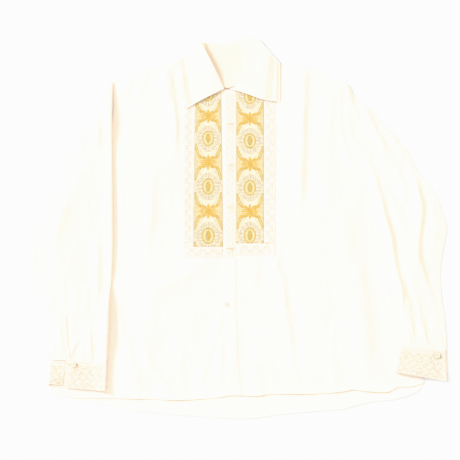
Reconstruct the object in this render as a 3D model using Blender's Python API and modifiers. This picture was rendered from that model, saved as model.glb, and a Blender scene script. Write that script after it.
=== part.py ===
"""Barong tagalog shirt, laid flat with its front up and its sleeves turned down beside the body.

Metres, +X to the right of the front view, +Y towards the collar, +Z up from the surface.
The origin is the middle of the outline, on the surface. Tables are in millimetres.
"""
from collections import namedtuple
import math

import bmesh
import bpy
import numpy as np

MM = 0.001

# Driving dimensions, in millimetres
WALL = 1.0
GAP = 0.3
LAYER = WALL + GAP
PUFF = 3.4
PUFF_REACH = 70.0
PUFF_SPREAD = 150.0
PUFF_LEAST = 0.35
FOLD_MARGIN = 14.0
CALM_FROM, CALM_TO = 18.0, 44.0
HOLD = 16.0
FALL = 24.0
THIN_ROLL = 1.7
CUFF_ROLL = 2.2
FULL_ROLL = 3.4
ROLL_SPREAD = 16.0
SLEEVE_PUFF = 3.0
CUFF_LIFT = 3.6
LEAF_RISE = 3.4
PLACKET_WIDTH = 24.0
PLACKET_CENTRE = 14.0
MEETING_GAP = 0.4
BUTTON_WIDTH = 9.0
BUTTON_HEIGHT = 1.6
BUTTON_HUMP = 16.0
BUTTON_SLOPE = 6.0
CUFF_BUTTON_WIDTH = 11.0
BAND_HEAD = 8.0
NECK_POINT = 271.5

# Heights of the layers over the surface, in millimetres
BACK_TOP = WALL
FRONT_FOOT = BACK_TOP + GAP
FRONT_BASE = FRONT_FOOT + WALL
ON_FRONT = FRONT_BASE + GAP
ON_BAND = ON_FRONT + LAYER

# Rows and columns of the cloth meshes
PANEL_ROWS, PANEL_COLUMNS = 24, 22
SLEEVE_ROWS, SLEEVE_COLUMNS = 27, 11
ROLL_POINTS = 3
CUFF_ROWS, CUFF_COLUMNS = 4, 9
LEAF_ROWS, LEAF_COLUMNS = 10, 9
BACK_COLLAR_COLUMNS = 18

Knot = namedtuple("Knot", "x y")
Fold = namedtuple("Fold", "x0 y0 xm ym x1 y1 width height")
Swell = namedtuple("Swell", "along height")
Strip = namedtuple("Strip", "left_top left_foot right_top right_foot foot")
Lap = namedtuple("Lap", "start flap rise")


def knots(*places):
    """Knots from pairs of millimetres."""
    return [Knot(x, y) for x, y in places]


SHOULDER_LEFT = knots((-253, 287), (-228, 297), (-198, 310), (-159, 320), (-123, 325))
NECK_BACK = knots((-123, 325), (-60, 320), (-20, 318), (20, 319), (80, 323))
SHOULDER_RIGHT = knots((80, 323), (112, 321), (137, 317), (165, 305), (192, 291), (206, 288))
NECK_LEFT = knots((-99, 326), (-80, 306), (-56, 287), (-34, 274), (-19.5, 272))
NECK_RIGHT = knots((-19, 272), (-1, 275), (23, 290), (42, 310), (54, 324))
SIDE_LEFT = knots((-253, 287), (-250, 240), (-255, 200), (-272, 140), (-299, 88), (-326, 54),
                  (-336, -10), (-347, -120), (-360, -230), (-371, -326))
SIDE_RIGHT = knots((206, 288), (207, 240), (208, 192), (222, 143), (234, 117), (249, 84), (273, 44),
                   (298, 8), (318, -90), (338, -200), (361, -306))
HEM_LEFT = knots((-371, -326), (-346, -332), (-320, -336), (-257, -336), (-188, -338), (-119, -340),
                 (-80, -338), (-50, -336), (-19, -331), (-5, -331))
HEM_RIGHT = knots((-4.5, -331), (29, -332), (68, -328), (157, -327), (206, -322), (220, -319),
                  (245, -322), (285, -324), (300, -319), (310, -314), (335, -313), (361, -306))
HEM_BACK = knots((-371, -326), (-326, -339), (-287, -344), (-247, -352), (-198, -361), (-149, -366),
                 (-80, -371), (-11, -375), (29, -374), (78, -367), (147, -361), (202, -356),
                 (235, -347), (265, -341), (304, -337), (344, -324), (361, -306))
PLACKET_EDGE = knots((-33.5, 271), (-33.5, 100), (-33.5, -58), (-32.5, -151), (-30, -241),
                     (-25, -300), (-19, -330))

SLEEVE_LEFT_OUTER = knots((-259, 285), (-269, 265), (-283, 241), (-300, 212), (-328, 163),
                          (-346, 123), (-360, 94), (-375, 54), (-387, 25), (-399, -5), (-407, -35),
                          (-409, -64), (-407, -94), (-401, -123), (-393, -145), (-384, -172),
                          (-380, -202), (-377, -235), (-375, -261))
SLEEVE_LEFT_INNER = knots((-251, 286), (-252, 200), (-252, 133), (-251, 30), (-251, -44),
                          (-253, -94), (-257, -143), (-259, -202), (-262, -262))
SLEEVE_RIGHT_INNER = knots((203, 286), (205, 240), (206, 192), (220, 143), (231, 117), (241, 94),
                           (252, 68), (258, 35), (263, -9), (271, -44), (281, -123), (291, -159),
                           (306, -208), (314, -233))
SLEEVE_RIGHT_OUTER = knots((211, 283), (222, 261), (235, 247), (255, 235), (269, 218), (300, 188),
                           (316, 166), (330, 149), (352, 109), (379, 74), (390, 52), (397, 29),
                           (406, 3), (402, -30), (396, -60), (393, -94), (397, -143), (401, -172),
                           (405, -220), (405, -242))

CUFF_LEFT_SIDES = (knots((-376, -262), (-379, -312)), knots((-262, -263), (-265, -321)))
CUFF_RIGHT_SIDES = (knots((314, -234), (302, -283)), knots((406, -243), (409, -303)))
CUFF_LAP_LEFT = Lap(start=0.28, flap=0.42, rise=5.0)
CUFF_LAP_RIGHT = Lap(start=0.07, flap=0.26, rise=0.0)

# The part of the fronts that no sleeve or cuff lies on
OPEN_RIGHT = knots((200, 280), (202, 192), (216, 143), (227, 117), (247, 68), (256, 0), (266, -44),
                   (276, -123), (288, -165), (294, -210), (294, -315))
OPEN_LEFT_EDGE = -244.0
OPEN_TOP = 280.0
OPEN_FOOT = -326.0

COLLAR_TOP_LEFT = knots((-123, 330), (-112, 338), (-99, 346), (-81, 367))
COLLAR_FOLD_LEFT = knots((-81, 367), (-57, 320), (-33.5, 272))
COLLAR_EDGE_LEFT = knots((-123, 330), (-114, 282), (-106, 234))
COLLAR_FOOT_LEFT = knots((-106, 234), (-80, 249), (-60, 259), (-33.5, 272))
COLLAR_TOP_RIGHT = knots((1, 369), (18, 373), (32, 375), (44, 361), (60, 343), (77, 324))
COLLAR_FOLD_RIGHT = knots((1, 369), (5, 330), (4, 298), (-8, 279), (-21, 272))
COLLAR_EDGE_RIGHT = knots((77, 324), (78, 286), (77, 247))
COLLAR_FOOT_RIGHT = knots((-21, 272), (-1, 267), (19, 260), (38, 253), (58, 249), (77, 247))
COLLAR_BACK_TOP = knots((-116, 330.5), (-98, 342), (-81, 363), (-50, 363), (-36, 361), (-24, 364),
                        (0, 369), (30, 370), (43, 357), (57, 342), (70, 327.5))
COLLAR_BACK_FOOT = knots((-116, 318), (-99, 315), (-80, 301), (-56, 285), (-38, 277), (-28, 275),
                         (-18, 276), (0, 284), (22, 294), (44, 308), (70, 315))
COLLAR_BACK_NECK = 327.0

GOLD_LEFT = Strip(left_top=-89, left_foot=-93, right_top=-38.5, right_foot=-34, foot=-38)
GOLD_RIGHT = Strip(left_top=-9, left_foot=-9, right_top=46, right_foot=46, foot=-31)
SIDE_STRIP_LEFT = Strip(left_top=-112, left_foot=-113, right_top=-89.4, right_foot=-93.4, foot=-38)
SIDE_STRIP_RIGHT = Strip(left_top=46.4, left_foot=46.4, right_top=68, right_foot=68, foot=-31)
FOOT_STRIP_LEFT = Strip(left_top=-113, left_foot=-113, right_top=-34, right_foot=-34, foot=-59)
FOOT_STRIP_RIGHT = Strip(left_top=-9, left_foot=-9, right_top=68, right_foot=68, foot=-54)

FRONT_FOLDS = [
    Fold(-136, 312, -130, 240, -126, 150, 14, 3.6),
    Fold(-170, 100, -172, 10, -180, -70, 16, 3.0),
    Fold(-66, -76, -116, -112, -180, -140, 26, 3.6),
    Fold(-236, -150, -214, -225, -194, -312, 14, 4.0),
    Fold(-186, -232, -160, -280, -130, -322, 14, 3.4),
    Fold(-50, -190, -62, -250, -78, -322, 12, 3.0),
    Fold(66, -30, 98, -150, 114, -322, 14, 4.6),
    Fold(36, -70, 33, -110, 30, -150, 12, 2.2),
    Fold(133, 312, 126, 180, 119, 26, 15, 4.0),
    Fold(186, 262, 180, 210, 176, 170, 14, 2.6),
    Fold(262, -70, 268, -190, 272, -300, 22, 3.0),
]
SLEEVE_LEFT_FOLDS = [
    Fold(-280, 215, -278, 180, -277, 120, 11, 2.8),
    Fold(-330, 62, -350, 0, -370, -44, 22, 3.2),
    Fold(-277, -5, -277, -70, -280, -150, 12, 3.0),
    Fold(-320, -120, -314, -160, -310, -200, 12, 2.8),
    Fold(-346, -160, -346, -205, -340, -248, 12, 3.2),
]
SLEEVE_RIGHT_FOLDS = [
    Fold(262, 120, 300, -15, 326, -180, 16, 5.0),
    Fold(318, -115, 334, -165, 342, -212, 13, 3.6),
    Fold(334, 132, 366, 20, 350, -70, 16, 5.0),
    Fold(352, -60, 372, -120, 388, -176, 14, 4.0),
    Fold(309, 126, 324, 80, 330, 38, 15, 2.8),
    Fold(222, 252, 232, 235, 238, 212, 12, 2.4),
    Fold(248, 234, 270, 200, 290, 148, 14, 3.0),
]
ROLL_LEFT = [Swell(0.0, 3.0), Swell(0.06, 6.5), Swell(0.2, 7.0), Swell(0.4, 5.6), Swell(0.58, 5.2),
             Swell(0.7, 4.0), Swell(0.8, 6.2), Swell(0.93, 6.6), Swell(1.0, 4.2)]
ROLL_RIGHT = [Swell(0.0, 2.6), Swell(0.3, 2.8), Swell(0.45, 4.2), Swell(0.7, 4.6), Swell(0.9, 4.2),
              Swell(1.0, 3.8)]

BUTTON_STATIONS = [202.0, 121.0, 40.0, -43.0]
LOWEST_BUTTON = Knot(-27.5, -151)
CUFF_BUTTON_LEFT = Knot(-328, -269)
CUFF_BUTTON_RIGHT = Knot(387, -251)
SLIT_LEFT = knots((-346, -172), (-344, -212), (-339, -256))
SLIT_WIDTH = 8.0

CLOTH_ROUGHNESS = 0.85
DENSE_ROUGHNESS = 0.8
SHELL_ROUGHNESS = 0.3
IVORY = (0.93, 0.90, 0.82, 1.0)
IVORY_DENSE = (0.92, 0.87, 0.74, 1.0)
GOLD = (0.83, 0.57, 0.18, 1.0)
SHELL = (0.86, 0.84, 0.78, 1.0)


class Curve:
    """A smooth line through knots, read by its share of the length or by x."""

    def __init__(self, knots, per_span=10):
        points = np.array([(k.x, k.y) for k in knots], dtype=float)
        ends = np.vstack([2 * points[0] - points[1], points, 2 * points[-1] - points[-2]])
        steps = np.linspace(0.0, 1.0, per_span, endpoint=False)[:, None]
        spans = []
        for a, b, c, d in zip(ends, ends[1:], ends[2:], ends[3:]):
            bend = 2 * a - 5 * b + 4 * c - d
            twist = 3 * (b - c) + d - a
            spans.append(b + 0.5 * steps * ((c - a) + steps * (bend + steps * twist)))
        self.points = np.vstack(spans + [points[-1:]])
        lengths = np.linalg.norm(np.diff(self.points, axis=0), axis=1)
        self.shares = np.concatenate([[0.0], np.cumsum(lengths)]) / lengths.sum()

    def at(self, share):
        """Points at these shares of the length."""
        return np.stack([np.interp(share, self.shares, self.points[:, i]) for i in (0, 1)], axis=-1)

    def y_at(self, x):
        """Height of a line that runs from left to right."""
        return np.interp(x, self.points[:, 0], self.points[:, 1])

    def x_at(self, y):
        """Place across of a line that runs downwards."""
        return np.interp(-np.asarray(y), -self.points[:, 1], self.points[:, 0])


def smooth_step(value, low, high):
    """Rise gently from 0 at low to 1 at high."""
    share = np.clip((value - low) / (high - low), 0.0, 1.0)
    return share * share * (3 - 2 * share)


def line_distance(x, y, points):
    """Distance from each place to a line of points, and the share of the line nearest to it."""
    nearest = np.full(np.shape(x), np.inf)
    share = np.zeros(np.shape(x))
    count = len(points) - 1
    for index in range(count):
        ax, ay = points[index]
        dx, dy = points[index + 1] - points[index]
        along = np.clip(((x - ax) * dx + (y - ay) * dy) / max(dx * dx + dy * dy, 1e-9), 0.0, 1.0)
        distance = np.hypot(x - ax - along * dx, y - ay - along * dy)
        share = np.where(distance < nearest, (index + along) / count, share)
        nearest = np.minimum(nearest, distance)
    return nearest, share


def inside_distance(x, y, outline):
    """Distance from an outline, positive inside it."""
    closed = np.vstack([outline, outline[:1]])
    distance, _ = line_distance(x, y, closed)
    inside = np.zeros(np.shape(x), dtype=bool)
    for (ax, ay), (bx, by) in zip(closed, closed[1:]):
        crosses = (ay > y) != (by > y)
        reach = ax + (y - ay) * (bx - ax) / (by - ay if by != ay else 1e-9)
        inside ^= crosses & (x < reach)
    return np.where(inside, distance, -distance)


def fold_height(x, y, folds):
    """Sum of the soft ridges of a table of folds."""
    total = np.zeros(np.shape(x))
    steps = np.linspace(0.0, 1.0, 9)[:, None]
    for fold in folds:
        start = np.array([fold.x0, fold.y0])
        middle = np.array([fold.xm, fold.ym])
        end = np.array([fold.x1, fold.y1])
        handle = 2 * middle - 0.5 * (start + end)
        path = (1 - steps) ** 2 * start + 2 * steps * (1 - steps) * handle + steps ** 2 * end
        distance, share = line_distance(x, y, path)
        fade = smooth_step(share, 0.0, 0.25) * smooth_step(1 - share, 0.0, 0.25)
        total += fold.height * fade * np.exp(-(distance / fold.width) ** 2)
    return total


SHOULDERS = Curve(SHOULDER_LEFT + NECK_BACK[1:] + SHOULDER_RIGHT[1:])
BODY_LEFT = Curve(SIDE_LEFT)
BODY_RIGHT = Curve(SIDE_RIGHT)
BACK_HEM = Curve(HEM_BACK)
PLACKET_LINE = Curve(PLACKET_EDGE)
BODY_OUTLINE = np.vstack([
    BODY_LEFT.at(np.linspace(0, 1, 30)),
    BACK_HEM.at(np.linspace(0, 1, 30))[1:],
    BODY_RIGHT.at(np.linspace(1, 0, 30))[1:],
    SHOULDERS.at(np.linspace(1, 0, 30))[1:-1],
])
OPEN_OUTLINE = np.vstack([
    [OPEN_LEFT_EDGE, OPEN_TOP],
    [OPEN_LEFT_EDGE, OPEN_FOOT],
    Curve(OPEN_RIGHT).at(np.linspace(1, 0, 24)),
    SHOULDERS.at(np.linspace(0.95, 0.05, 24)),
])


def applied_distance(x, y):
    """Distance from what is sewn on the fronts: the bib and the placket below it."""
    past_bib_x = np.maximum(FOOT_STRIP_LEFT.left_foot - x, x - FOOT_STRIP_RIGHT.right_foot)
    past_bib_x = np.maximum(past_bib_x, 0.0)
    past_bib_y = np.maximum(FOOT_STRIP_LEFT.foot - y, 0.0)
    from_placket = np.abs(x - PLACKET_LINE.x_at(y) - 0.5 * PLACKET_WIDTH)
    past_placket = np.maximum(from_placket - 0.5 * PLACKET_WIDTH, 0.0)
    return np.minimum(np.hypot(past_bib_x, past_bib_y), past_placket)


def front_top(x, y):
    """Height of the upper face of the two fronts."""
    depth = inside_distance(x, y, OPEN_OUTLINE)
    centre = 1 - np.exp(-((x - PLACKET_LINE.x_at(y) - PLACKET_CENTRE) / PUFF_SPREAD) ** 2)
    puff = PUFF * smooth_step(depth, 0.0, PUFF_REACH) * (PUFF_LEAST + (1 - PUFF_LEAST) * centre)
    calm = smooth_step(applied_distance(x, y), CALM_FROM, CALM_TO)
    calm = calm * smooth_step(depth, 0.0, FOLD_MARGIN)
    return FRONT_BASE + puff + fold_height(x, y, FRONT_FOLDS) * calm


def rest_height(x, y):
    """Height at which a sleeve or cuff rests: over the body, or down on the surface beside it."""
    outside = -inside_distance(x, y, BODY_OUTLINE)
    return ON_FRONT * (1 - smooth_step(outside, HOLD, HOLD + FALL))


def new_object(name, mesh, colour, roughness, smooth=True):
    """Place a mesh in the shirt's collection with its own material."""
    material = bpy.data.materials.new(name)
    material.use_nodes = True
    shader = material.node_tree.nodes["Principled BSDF"]
    shader.inputs["Base Color"].default_value = colour
    shader.inputs["Roughness"].default_value = roughness
    shader.inputs["Metallic"].default_value = 0.0
    mesh.materials.append(material)
    if smooth:
        mesh.shade_smooth()
        mesh.set_sharp_from_angle(angle=math.radians(50))
    item = bpy.data.objects.new(name, mesh)
    bpy.data.collections["barong_tagalog_shirt"].objects.link(item)
    return item


def mesh_from(name, vertices, faces):
    """A closed mesh in metres from vertices in millimetres, with its faces pointing out."""
    bm = bmesh.new()
    points = [bm.verts.new(tuple(c * MM for c in vertex)) for vertex in vertices]
    for face in faces:
        bm.faces.new([points[i] for i in face])
    bmesh.ops.recalc_face_normals(bm, faces=bm.faces)
    mesh = bpy.data.meshes.new(name)
    bm.to_mesh(mesh)
    bm.free()
    return mesh


def thick_sheet(name, upper, lower, colour=IVORY, roughness=CLOTH_ROUGHNESS):
    """A piece of cloth between two matching grids of points."""
    rows, columns = upper.shape[:2]
    vertices = np.vstack([upper.reshape(-1, 3), lower.reshape(-1, 3)])
    under = rows * columns
    faces = []
    for r in range(rows - 1):
        for c in range(columns - 1):
            a = r * columns + c
            quad = (a, a + 1, a + columns + 1, a + columns)
            faces.append(quad)
            faces.append(tuple(under + i for i in reversed(quad)))
    border = list(range(columns))
    border += [r * columns + columns - 1 for r in range(1, rows)]
    border += [(rows - 1) * columns + c for c in range(columns - 2, -1, -1)]
    border += [r * columns for r in range(rows - 2, 0, -1)]
    for a, b in zip(border, border[1:] + border[:1]):
        faces.append((b, a, under + a, under + b))
    return new_object(name, mesh_from(name, vertices.tolist(), faces), colour, roughness)


def tube(name, outer, inner, colour=IVORY, roughness=CLOTH_ROUGHNESS):
    """A sleeve of cloth between two matching stacks of rings, open at both ends."""
    rows, around = outer.shape[:2]
    vertices = np.vstack([outer.reshape(-1, 3), inner.reshape(-1, 3)])
    under = rows * around
    faces = []
    for r in range(rows - 1):
        for c in range(around):
            d = (c + 1) % around
            quad = (r * around + c, r * around + d, (r + 1) * around + d, (r + 1) * around + c)
            faces.append(quad)
            faces.append(tuple(under + i for i in reversed(quad)))
    for r in (0, rows - 1):
        for c in range(around):
            d = (c + 1) % around
            a, b = r * around + c, r * around + d
            faces.append((a, b, under + b, under + a) if r else (b, a, under + a, under + b))
    return new_object(name, mesh_from(name, vertices.tolist(), faces), colour, roughness)


def patch(top, foot, left, right, rows, columns):
    """Grid of places inside four lines: top and foot run left to right, the sides run downwards."""
    across = np.linspace(0, 1, columns)
    down = np.linspace(0, 1, rows)
    u, v = (shares[..., None] for shares in np.meshgrid(across, down))
    head, base = top.at(across)[None], foot.at(across)[None]
    near, far = left.at(down)[:, None], right.at(down)[:, None]
    corners = (1 - u) * (1 - v) * head[:, :1] + u * (1 - v) * head[:, -1:]
    corners = corners + (1 - u) * v * base[:, :1] + u * v * base[:, -1:]
    return (1 - v) * head + v * base + (1 - u) * near + u * far - corners


def lift(places, heights):
    """Join places and their heights into points."""
    return np.concatenate([places, heights[..., None]], axis=-1)


def between(top, foot, share):
    """A straight line between two points."""
    return top + (foot - top) * share


def flat_ring(left, right, foot, head, rolls, inset, stations):
    """Flattened ring of a sleeve between two edge points, as outer points or set in by the wall.

    foot and head give the heights of the two layers, rolls the half width of each rolled edge.
    """
    width = np.linalg.norm(right - left)
    across = (right - left) / width
    roll_left, roll_right = (min(r, 0.3 * width) for r in rolls)
    shares = (roll_left + (width - roll_left - roll_right) * stations) / width
    places = left + (right - left) * shares[:, None]
    low = foot(places[:, 0], places[:, 1]) + inset
    high = head(places[:, 0], places[:, 1], shares) - inset
    points = list(lift(places, low))
    for side, index, roll in ((1, -1, roll_right), (-1, 0, roll_left)):
        centre = places[index]
        middle = 0.5 * (low[index] + high[index])
        half = 0.5 * (high[index] - low[index])
        angles = np.linspace(-45, 45, ROLL_POINTS) * side
        for angle in np.radians(angles):
            place = centre + across * side * (roll - inset) * math.cos(angle)
            points.append(np.array([place[0], place[1], middle + half * math.sin(angle)]))
        if side > 0:
            points.extend(lift(places, high)[::-1])
    return np.array(points)


def sleeve(name, outer_knots, inner_knots, folds, swells, mirrored):
    """A flattened sleeve from the shoulder to the cuff, with a rolled inner edge."""
    outer_line, inner_line = Curve(outer_knots), Curve(inner_knots)
    stations = np.linspace(0, 1, SLEEVE_COLUMNS)
    rings = {0.0: [], WALL: []}
    for t in np.linspace(0, 1, SLEEVE_ROWS):
        outer, inner = outer_line.at(t), inner_line.at(t)
        width = np.linalg.norm(inner - outer)
        edge_height = float(np.interp(t, [s.along for s in swells], [s.height for s in swells]))
        flat = 2 * WALL + GAP + (CUFF_LIFT - 2 * WALL - GAP) * float(smooth_step(t, 0.8, 1.0))
        left, right = (inner, outer) if mirrored else (outer, inner)

        def head(x, y, shares):
            """Height of the upper layer."""
            inward = (shares if mirrored else 1 - shares) * width
            loose = math.sin(math.pi * min(1.0, 0.08 + 0.92 * t)) ** 0.5 if t < 1 else 0.0
            crown = SLEEVE_PUFF * loose * np.sin(np.pi * np.clip(shares, 0, 1)) ** 0.8
            roll = (edge_height - flat) * np.exp(-(inward / ROLL_SPREAD) ** 2)
            calm = smooth_step(np.minimum(shares, 1 - shares) * width, 2.0, 16.0)
            return rest_height(x, y) + flat + crown + roll + calm * fold_height(x, y, folds)

        rolls = (THIN_ROLL, min(FULL_ROLL, edge_height / 2))
        rolls = rolls[::-1] if mirrored else rolls
        for inset, ring_list in rings.items():
            ring_list.append(flat_ring(left, right, rest_height, head, rolls, inset, stations))
    outer = np.array(rings[0.0])
    tube(name, outer, np.array(rings[WALL]))
    top_start = SLEEVE_COLUMNS + ROLL_POINTS
    return outer[:, top_start:top_start + SLEEVE_COLUMNS][:, ::-1]


def slit_binding(upper_rows):
    """The bound slit above the left cuff, made from the points of the sleeve that carries it."""
    slit = Curve(SLIT_LEFT)
    shares = np.linspace(-0.5, 0.5, 3)
    grid = []
    for row in upper_rows:
        height = row[:, 1].mean()
        if SLIT_LEFT[-1].y <= height <= SLIT_LEFT[0].y:
            x = float(slit.x_at(height)) + SLIT_WIDTH * shares
            y, z = (np.interp(x, row[:, 0], row[:, axis]) for axis in (1, 2))
            grid.append(np.stack([x, y, z], axis=-1))
    lower = np.array(grid)
    lower[..., 2] += GAP
    upper = lower.copy()
    upper[..., 2] += WALL
    thick_sheet("sleeve_slit_binding_left", upper, lower, IVORY_DENSE, DENSE_ROUGHNESS)


def cuff_path(left, right, lap, lap_on_left):
    """One section of a cuff: a band that goes round the wrist and laps over its own end.

    It gives the outer and the inner points, from the upper end, round, to the end beneath.
    """
    width = np.linalg.norm(right - left)
    start, turn = (left, 1.0) if lap_on_left else (right, -1.0)
    across = turn * (right - left) / width
    upper_shares = np.linspace(lap.start, 1.0, CUFF_COLUMNS)
    flap_shares = np.linspace(0.0, lap.flap, 3)
    roll = CUFF_ROLL
    flap_level, upper_level = LAYER, 2 * LAYER
    turns = [math.radians(angle) for angle in (40, 0, -40)]
    sides = []
    for inset in (0.0, WALL):
        points = []

        def add(share_mm, height):
            """One point at a distance from the lapped side."""
            place = start + across * share_mm
            points.append(np.array([place[0], place[1], rest_height(place[0], place[1]) + height]))

        for share in upper_shares[:-1]:
            add(share * width, upper_level + WALL - inset)
        add(width - roll, upper_level + WALL - inset)
        middle = 0.5 * (upper_level + WALL)
        for angle in turns:
            reach = (roll - inset) * math.cos(angle)
            add(width - roll + reach, middle + (middle - inset) * math.sin(angle))
        add(width - roll, inset)
        for share in upper_shares[-2:0:-1]:
            add(share * width, inset)
        add(roll, inset)
        middle = 0.5 * (flap_level + WALL)
        for angle in reversed(turns):
            reach = (roll - inset) * math.cos(angle)
            add(roll - reach, middle + (middle - inset) * math.sin(angle))
        for share in flap_shares:
            add(roll + share * width, flap_level + WALL - inset)
        sides.append(np.array(points))
    return sides


def cuff(name, sides, lap, lap_on_left):
    """An embroidered cuff, laid flat, with its end lapped over."""
    left_line, right_line = (Curve(side) for side in sides)
    outer, inner = [], []
    for t in np.linspace(0, 1, CUFF_ROWS):
        side_out, side_in = cuff_path(left_line.at(t), right_line.at(t), lap, lap_on_left)
        outer.append(side_out)
        inner.append(side_in)
    outer, inner = np.array(outer), np.array(inner)
    for grid in (outer, inner):
        for share, column in zip((1.0, 1.0, 0.5), (-1, -2, -3)):
            grid[-1, column, 1] += lap.rise * share
    return thick_sheet(name, outer, inner, IVORY_DENSE, DENSE_ROUGHNESS)


def leaf(name, top, foot, left, right, fold_on_right):
    """A collar leaf lying on the front, raised and rolled along its fold."""
    places = patch(top, foot, left, right, LEAF_ROWS, LEAF_COLUMNS)
    down = np.linspace(0, 1, LEAF_ROWS)[:, None]
    across = np.linspace(0, 1, LEAF_COLUMNS)[None]
    to_fold = across if fold_on_right else 1 - across
    fold_rise = LEAF_RISE * (1 - down) ** 0.7 * to_fold ** 2
    shoulder_rise = 0.8 * (1 - down) ** 2 * (1 - to_fold)
    lower = front_top(places[..., 0], places[..., 1]) + GAP + LAYER + fold_rise + shoulder_rise
    return thick_sheet(name, lift(places, lower + WALL), lift(places, lower), IVORY, DENSE_ROUGHNESS)


def back_collar():
    """The collar behind the neck: its inner face shows, and it turns under at the nape."""
    top, foot = Curve(COLLAR_BACK_TOP), Curve(COLLAR_BACK_FOOT)
    shares = np.linspace(0, 1, BACK_COLLAR_COLUMNS)
    half = 0.5 * ON_BAND - 0.5 * GAP
    outer, inner = [], []
    for share in shares:
        head, low = top.at(share), foot.at(share)
        roll = min(half, 0.45 * (head[1] - COLLAR_BACK_NECK))
        for inset, side in ((0.0, outer), (WALL, inner)):
            section = [(head[0], COLLAR_BACK_NECK, inset), (head[0], head[1] - roll, inset)]
            for turn in np.radians((-45, 0, 45)):
                reach = (roll - inset * roll / half) * math.cos(turn)
                height = half + (half - inset) * math.sin(turn)
                section.append((head[0], head[1] - roll + reach, height))
            for step in (0.0, 0.33, 0.67, 1.0):
                place = between(np.array([head[0], head[1] - roll]), low, step)
                height = float(front_top(place[0], place[1])) + GAP + WALL
                section.append((place[0], place[1], height - inset))
            side.append(section)
    return thick_sheet("collar_back", np.array(outer), np.array(inner), IVORY, DENSE_ROUGHNESS)


def on_front(places, layer=0):
    """Upper and lower faces of a piece that lies on the fronts, made from their points."""
    lower = front_top(places[..., 0], places[..., 1]) + GAP + layer * LAYER
    return lift(places, lower + WALL), lift(places, lower)


def strip_places(strip, top_line, rows, columns):
    """Grid of places of a straight strip whose head follows a line."""
    across = np.linspace(0, 1, columns)[None]
    down = np.linspace(0, 1, rows)[:, None]
    head_x = strip.left_top + (strip.right_top - strip.left_top) * across
    foot_x = strip.left_foot + (strip.right_foot - strip.left_foot) * across
    head_y = top_line(head_x)
    x = head_x + (foot_x - head_x) * down
    y = head_y + (strip.foot - head_y) * down
    return np.stack([x, y], axis=-1)


def band_head_left(x):
    """Upper end of the bib strips at the left, hidden by the collar leaf."""
    return np.minimum(Curve(COLLAR_FOOT_LEFT).y_at(x) + BAND_HEAD, NECK_POINT)


def band_head_right(x):
    """Upper end of the bib strips at the right, hidden by the collar leaf."""
    return np.minimum(Curve(COLLAR_FOOT_RIGHT).y_at(x) + BAND_HEAD, NECK_POINT)


def foot_strip_head_left(x):
    """Upper edge of the foot strip at the left, just under its gold band."""
    return np.full_like(x, GOLD_LEFT.foot - GAP)


def foot_strip_head_right(x):
    """Upper edge of the foot strip at the right, just under its gold band."""
    return np.full_like(x, GOLD_RIGHT.foot - GAP)


def bib():
    """Gold bands, ivory side strips and foot strips."""
    pieces = (
        ("bib_gold_band_left", GOLD_LEFT, band_head_left, 12, 6, GOLD),
        ("bib_gold_band_right", GOLD_RIGHT, band_head_right, 12, 6, GOLD),
        ("bib_side_strip_left", SIDE_STRIP_LEFT, band_head_left, 12, 3, IVORY_DENSE),
        ("bib_side_strip_right", SIDE_STRIP_RIGHT, band_head_right, 12, 3, IVORY_DENSE),
        ("bib_foot_strip_left", FOOT_STRIP_LEFT, foot_strip_head_left, 3, 8, IVORY_DENSE),
        ("bib_foot_strip_right", FOOT_STRIP_RIGHT, foot_strip_head_right, 3, 8, IVORY_DENSE),
    )
    for name, strip, head, rows, columns, colour in pieces:
        upper, lower = on_front(strip_places(strip, head, rows, columns))
        thick_sheet(name, upper, lower, colour, DENSE_ROUGHNESS)


def placket():
    """The strip down the front opening, humped over the buttons beneath it."""
    stations = [PLACKET_EDGE[0].y - GAP]
    for station in BUTTON_STATIONS:
        stations += [station + BUTTON_HUMP, station + BUTTON_SLOPE]
        stations += [station - BUTTON_SLOPE, station - BUTTON_HUMP]
    stations += [-90.0, -120.0, -151.0, -185.0, -220.0, -255.0, -290.0, -330.0]
    rows = np.array(sorted(stations, reverse=True))[:, None]
    across = np.array([0.0, 0.25, 0.5, 0.78, 1.0])[None]
    x = PLACKET_LINE.x_at(rows) + PLACKET_WIDTH * across
    y = rows + 0 * across
    upper, lower = on_front(np.stack([x, y], axis=-1))
    hump = np.zeros(x.shape)
    for station in BUTTON_STATIONS:
        near = smooth_step(BUTTON_HUMP - np.abs(y - station), 0.0, BUTTON_HUMP - BUTTON_SLOPE)
        hump += (BUTTON_HEIGHT + 0.2) * near * smooth_step(0.62 - np.abs(across - 0.5), 0.12, 0.37)
    for side in (upper, lower):
        side[..., 2] += hump
    thick_sheet("front_placket", upper, lower, IVORY_DENSE, DENSE_ROUGHNESS)


def button(name, place, foot, width=BUTTON_WIDTH, height=BUTTON_HEIGHT):
    """A small shell button, flat with a softened rim."""
    bm = bmesh.new()
    radius = width * MM / 2
    bmesh.ops.create_cone(bm, cap_ends=True, segments=16, radius1=radius, radius2=radius,
                          depth=height * MM)
    mesh = bpy.data.meshes.new(name)
    bm.to_mesh(mesh)
    bm.free()
    item = new_object(name, mesh, SHELL, SHELL_ROUGHNESS)
    item.location = (place.x * MM, place.y * MM, (foot + height / 2) * MM)
    rim = item.modifiers.new("rim", "BEVEL")
    rim.width = 0.35 * MM
    rim.segments = 1
    rim.limit_method = "ANGLE"


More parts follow.
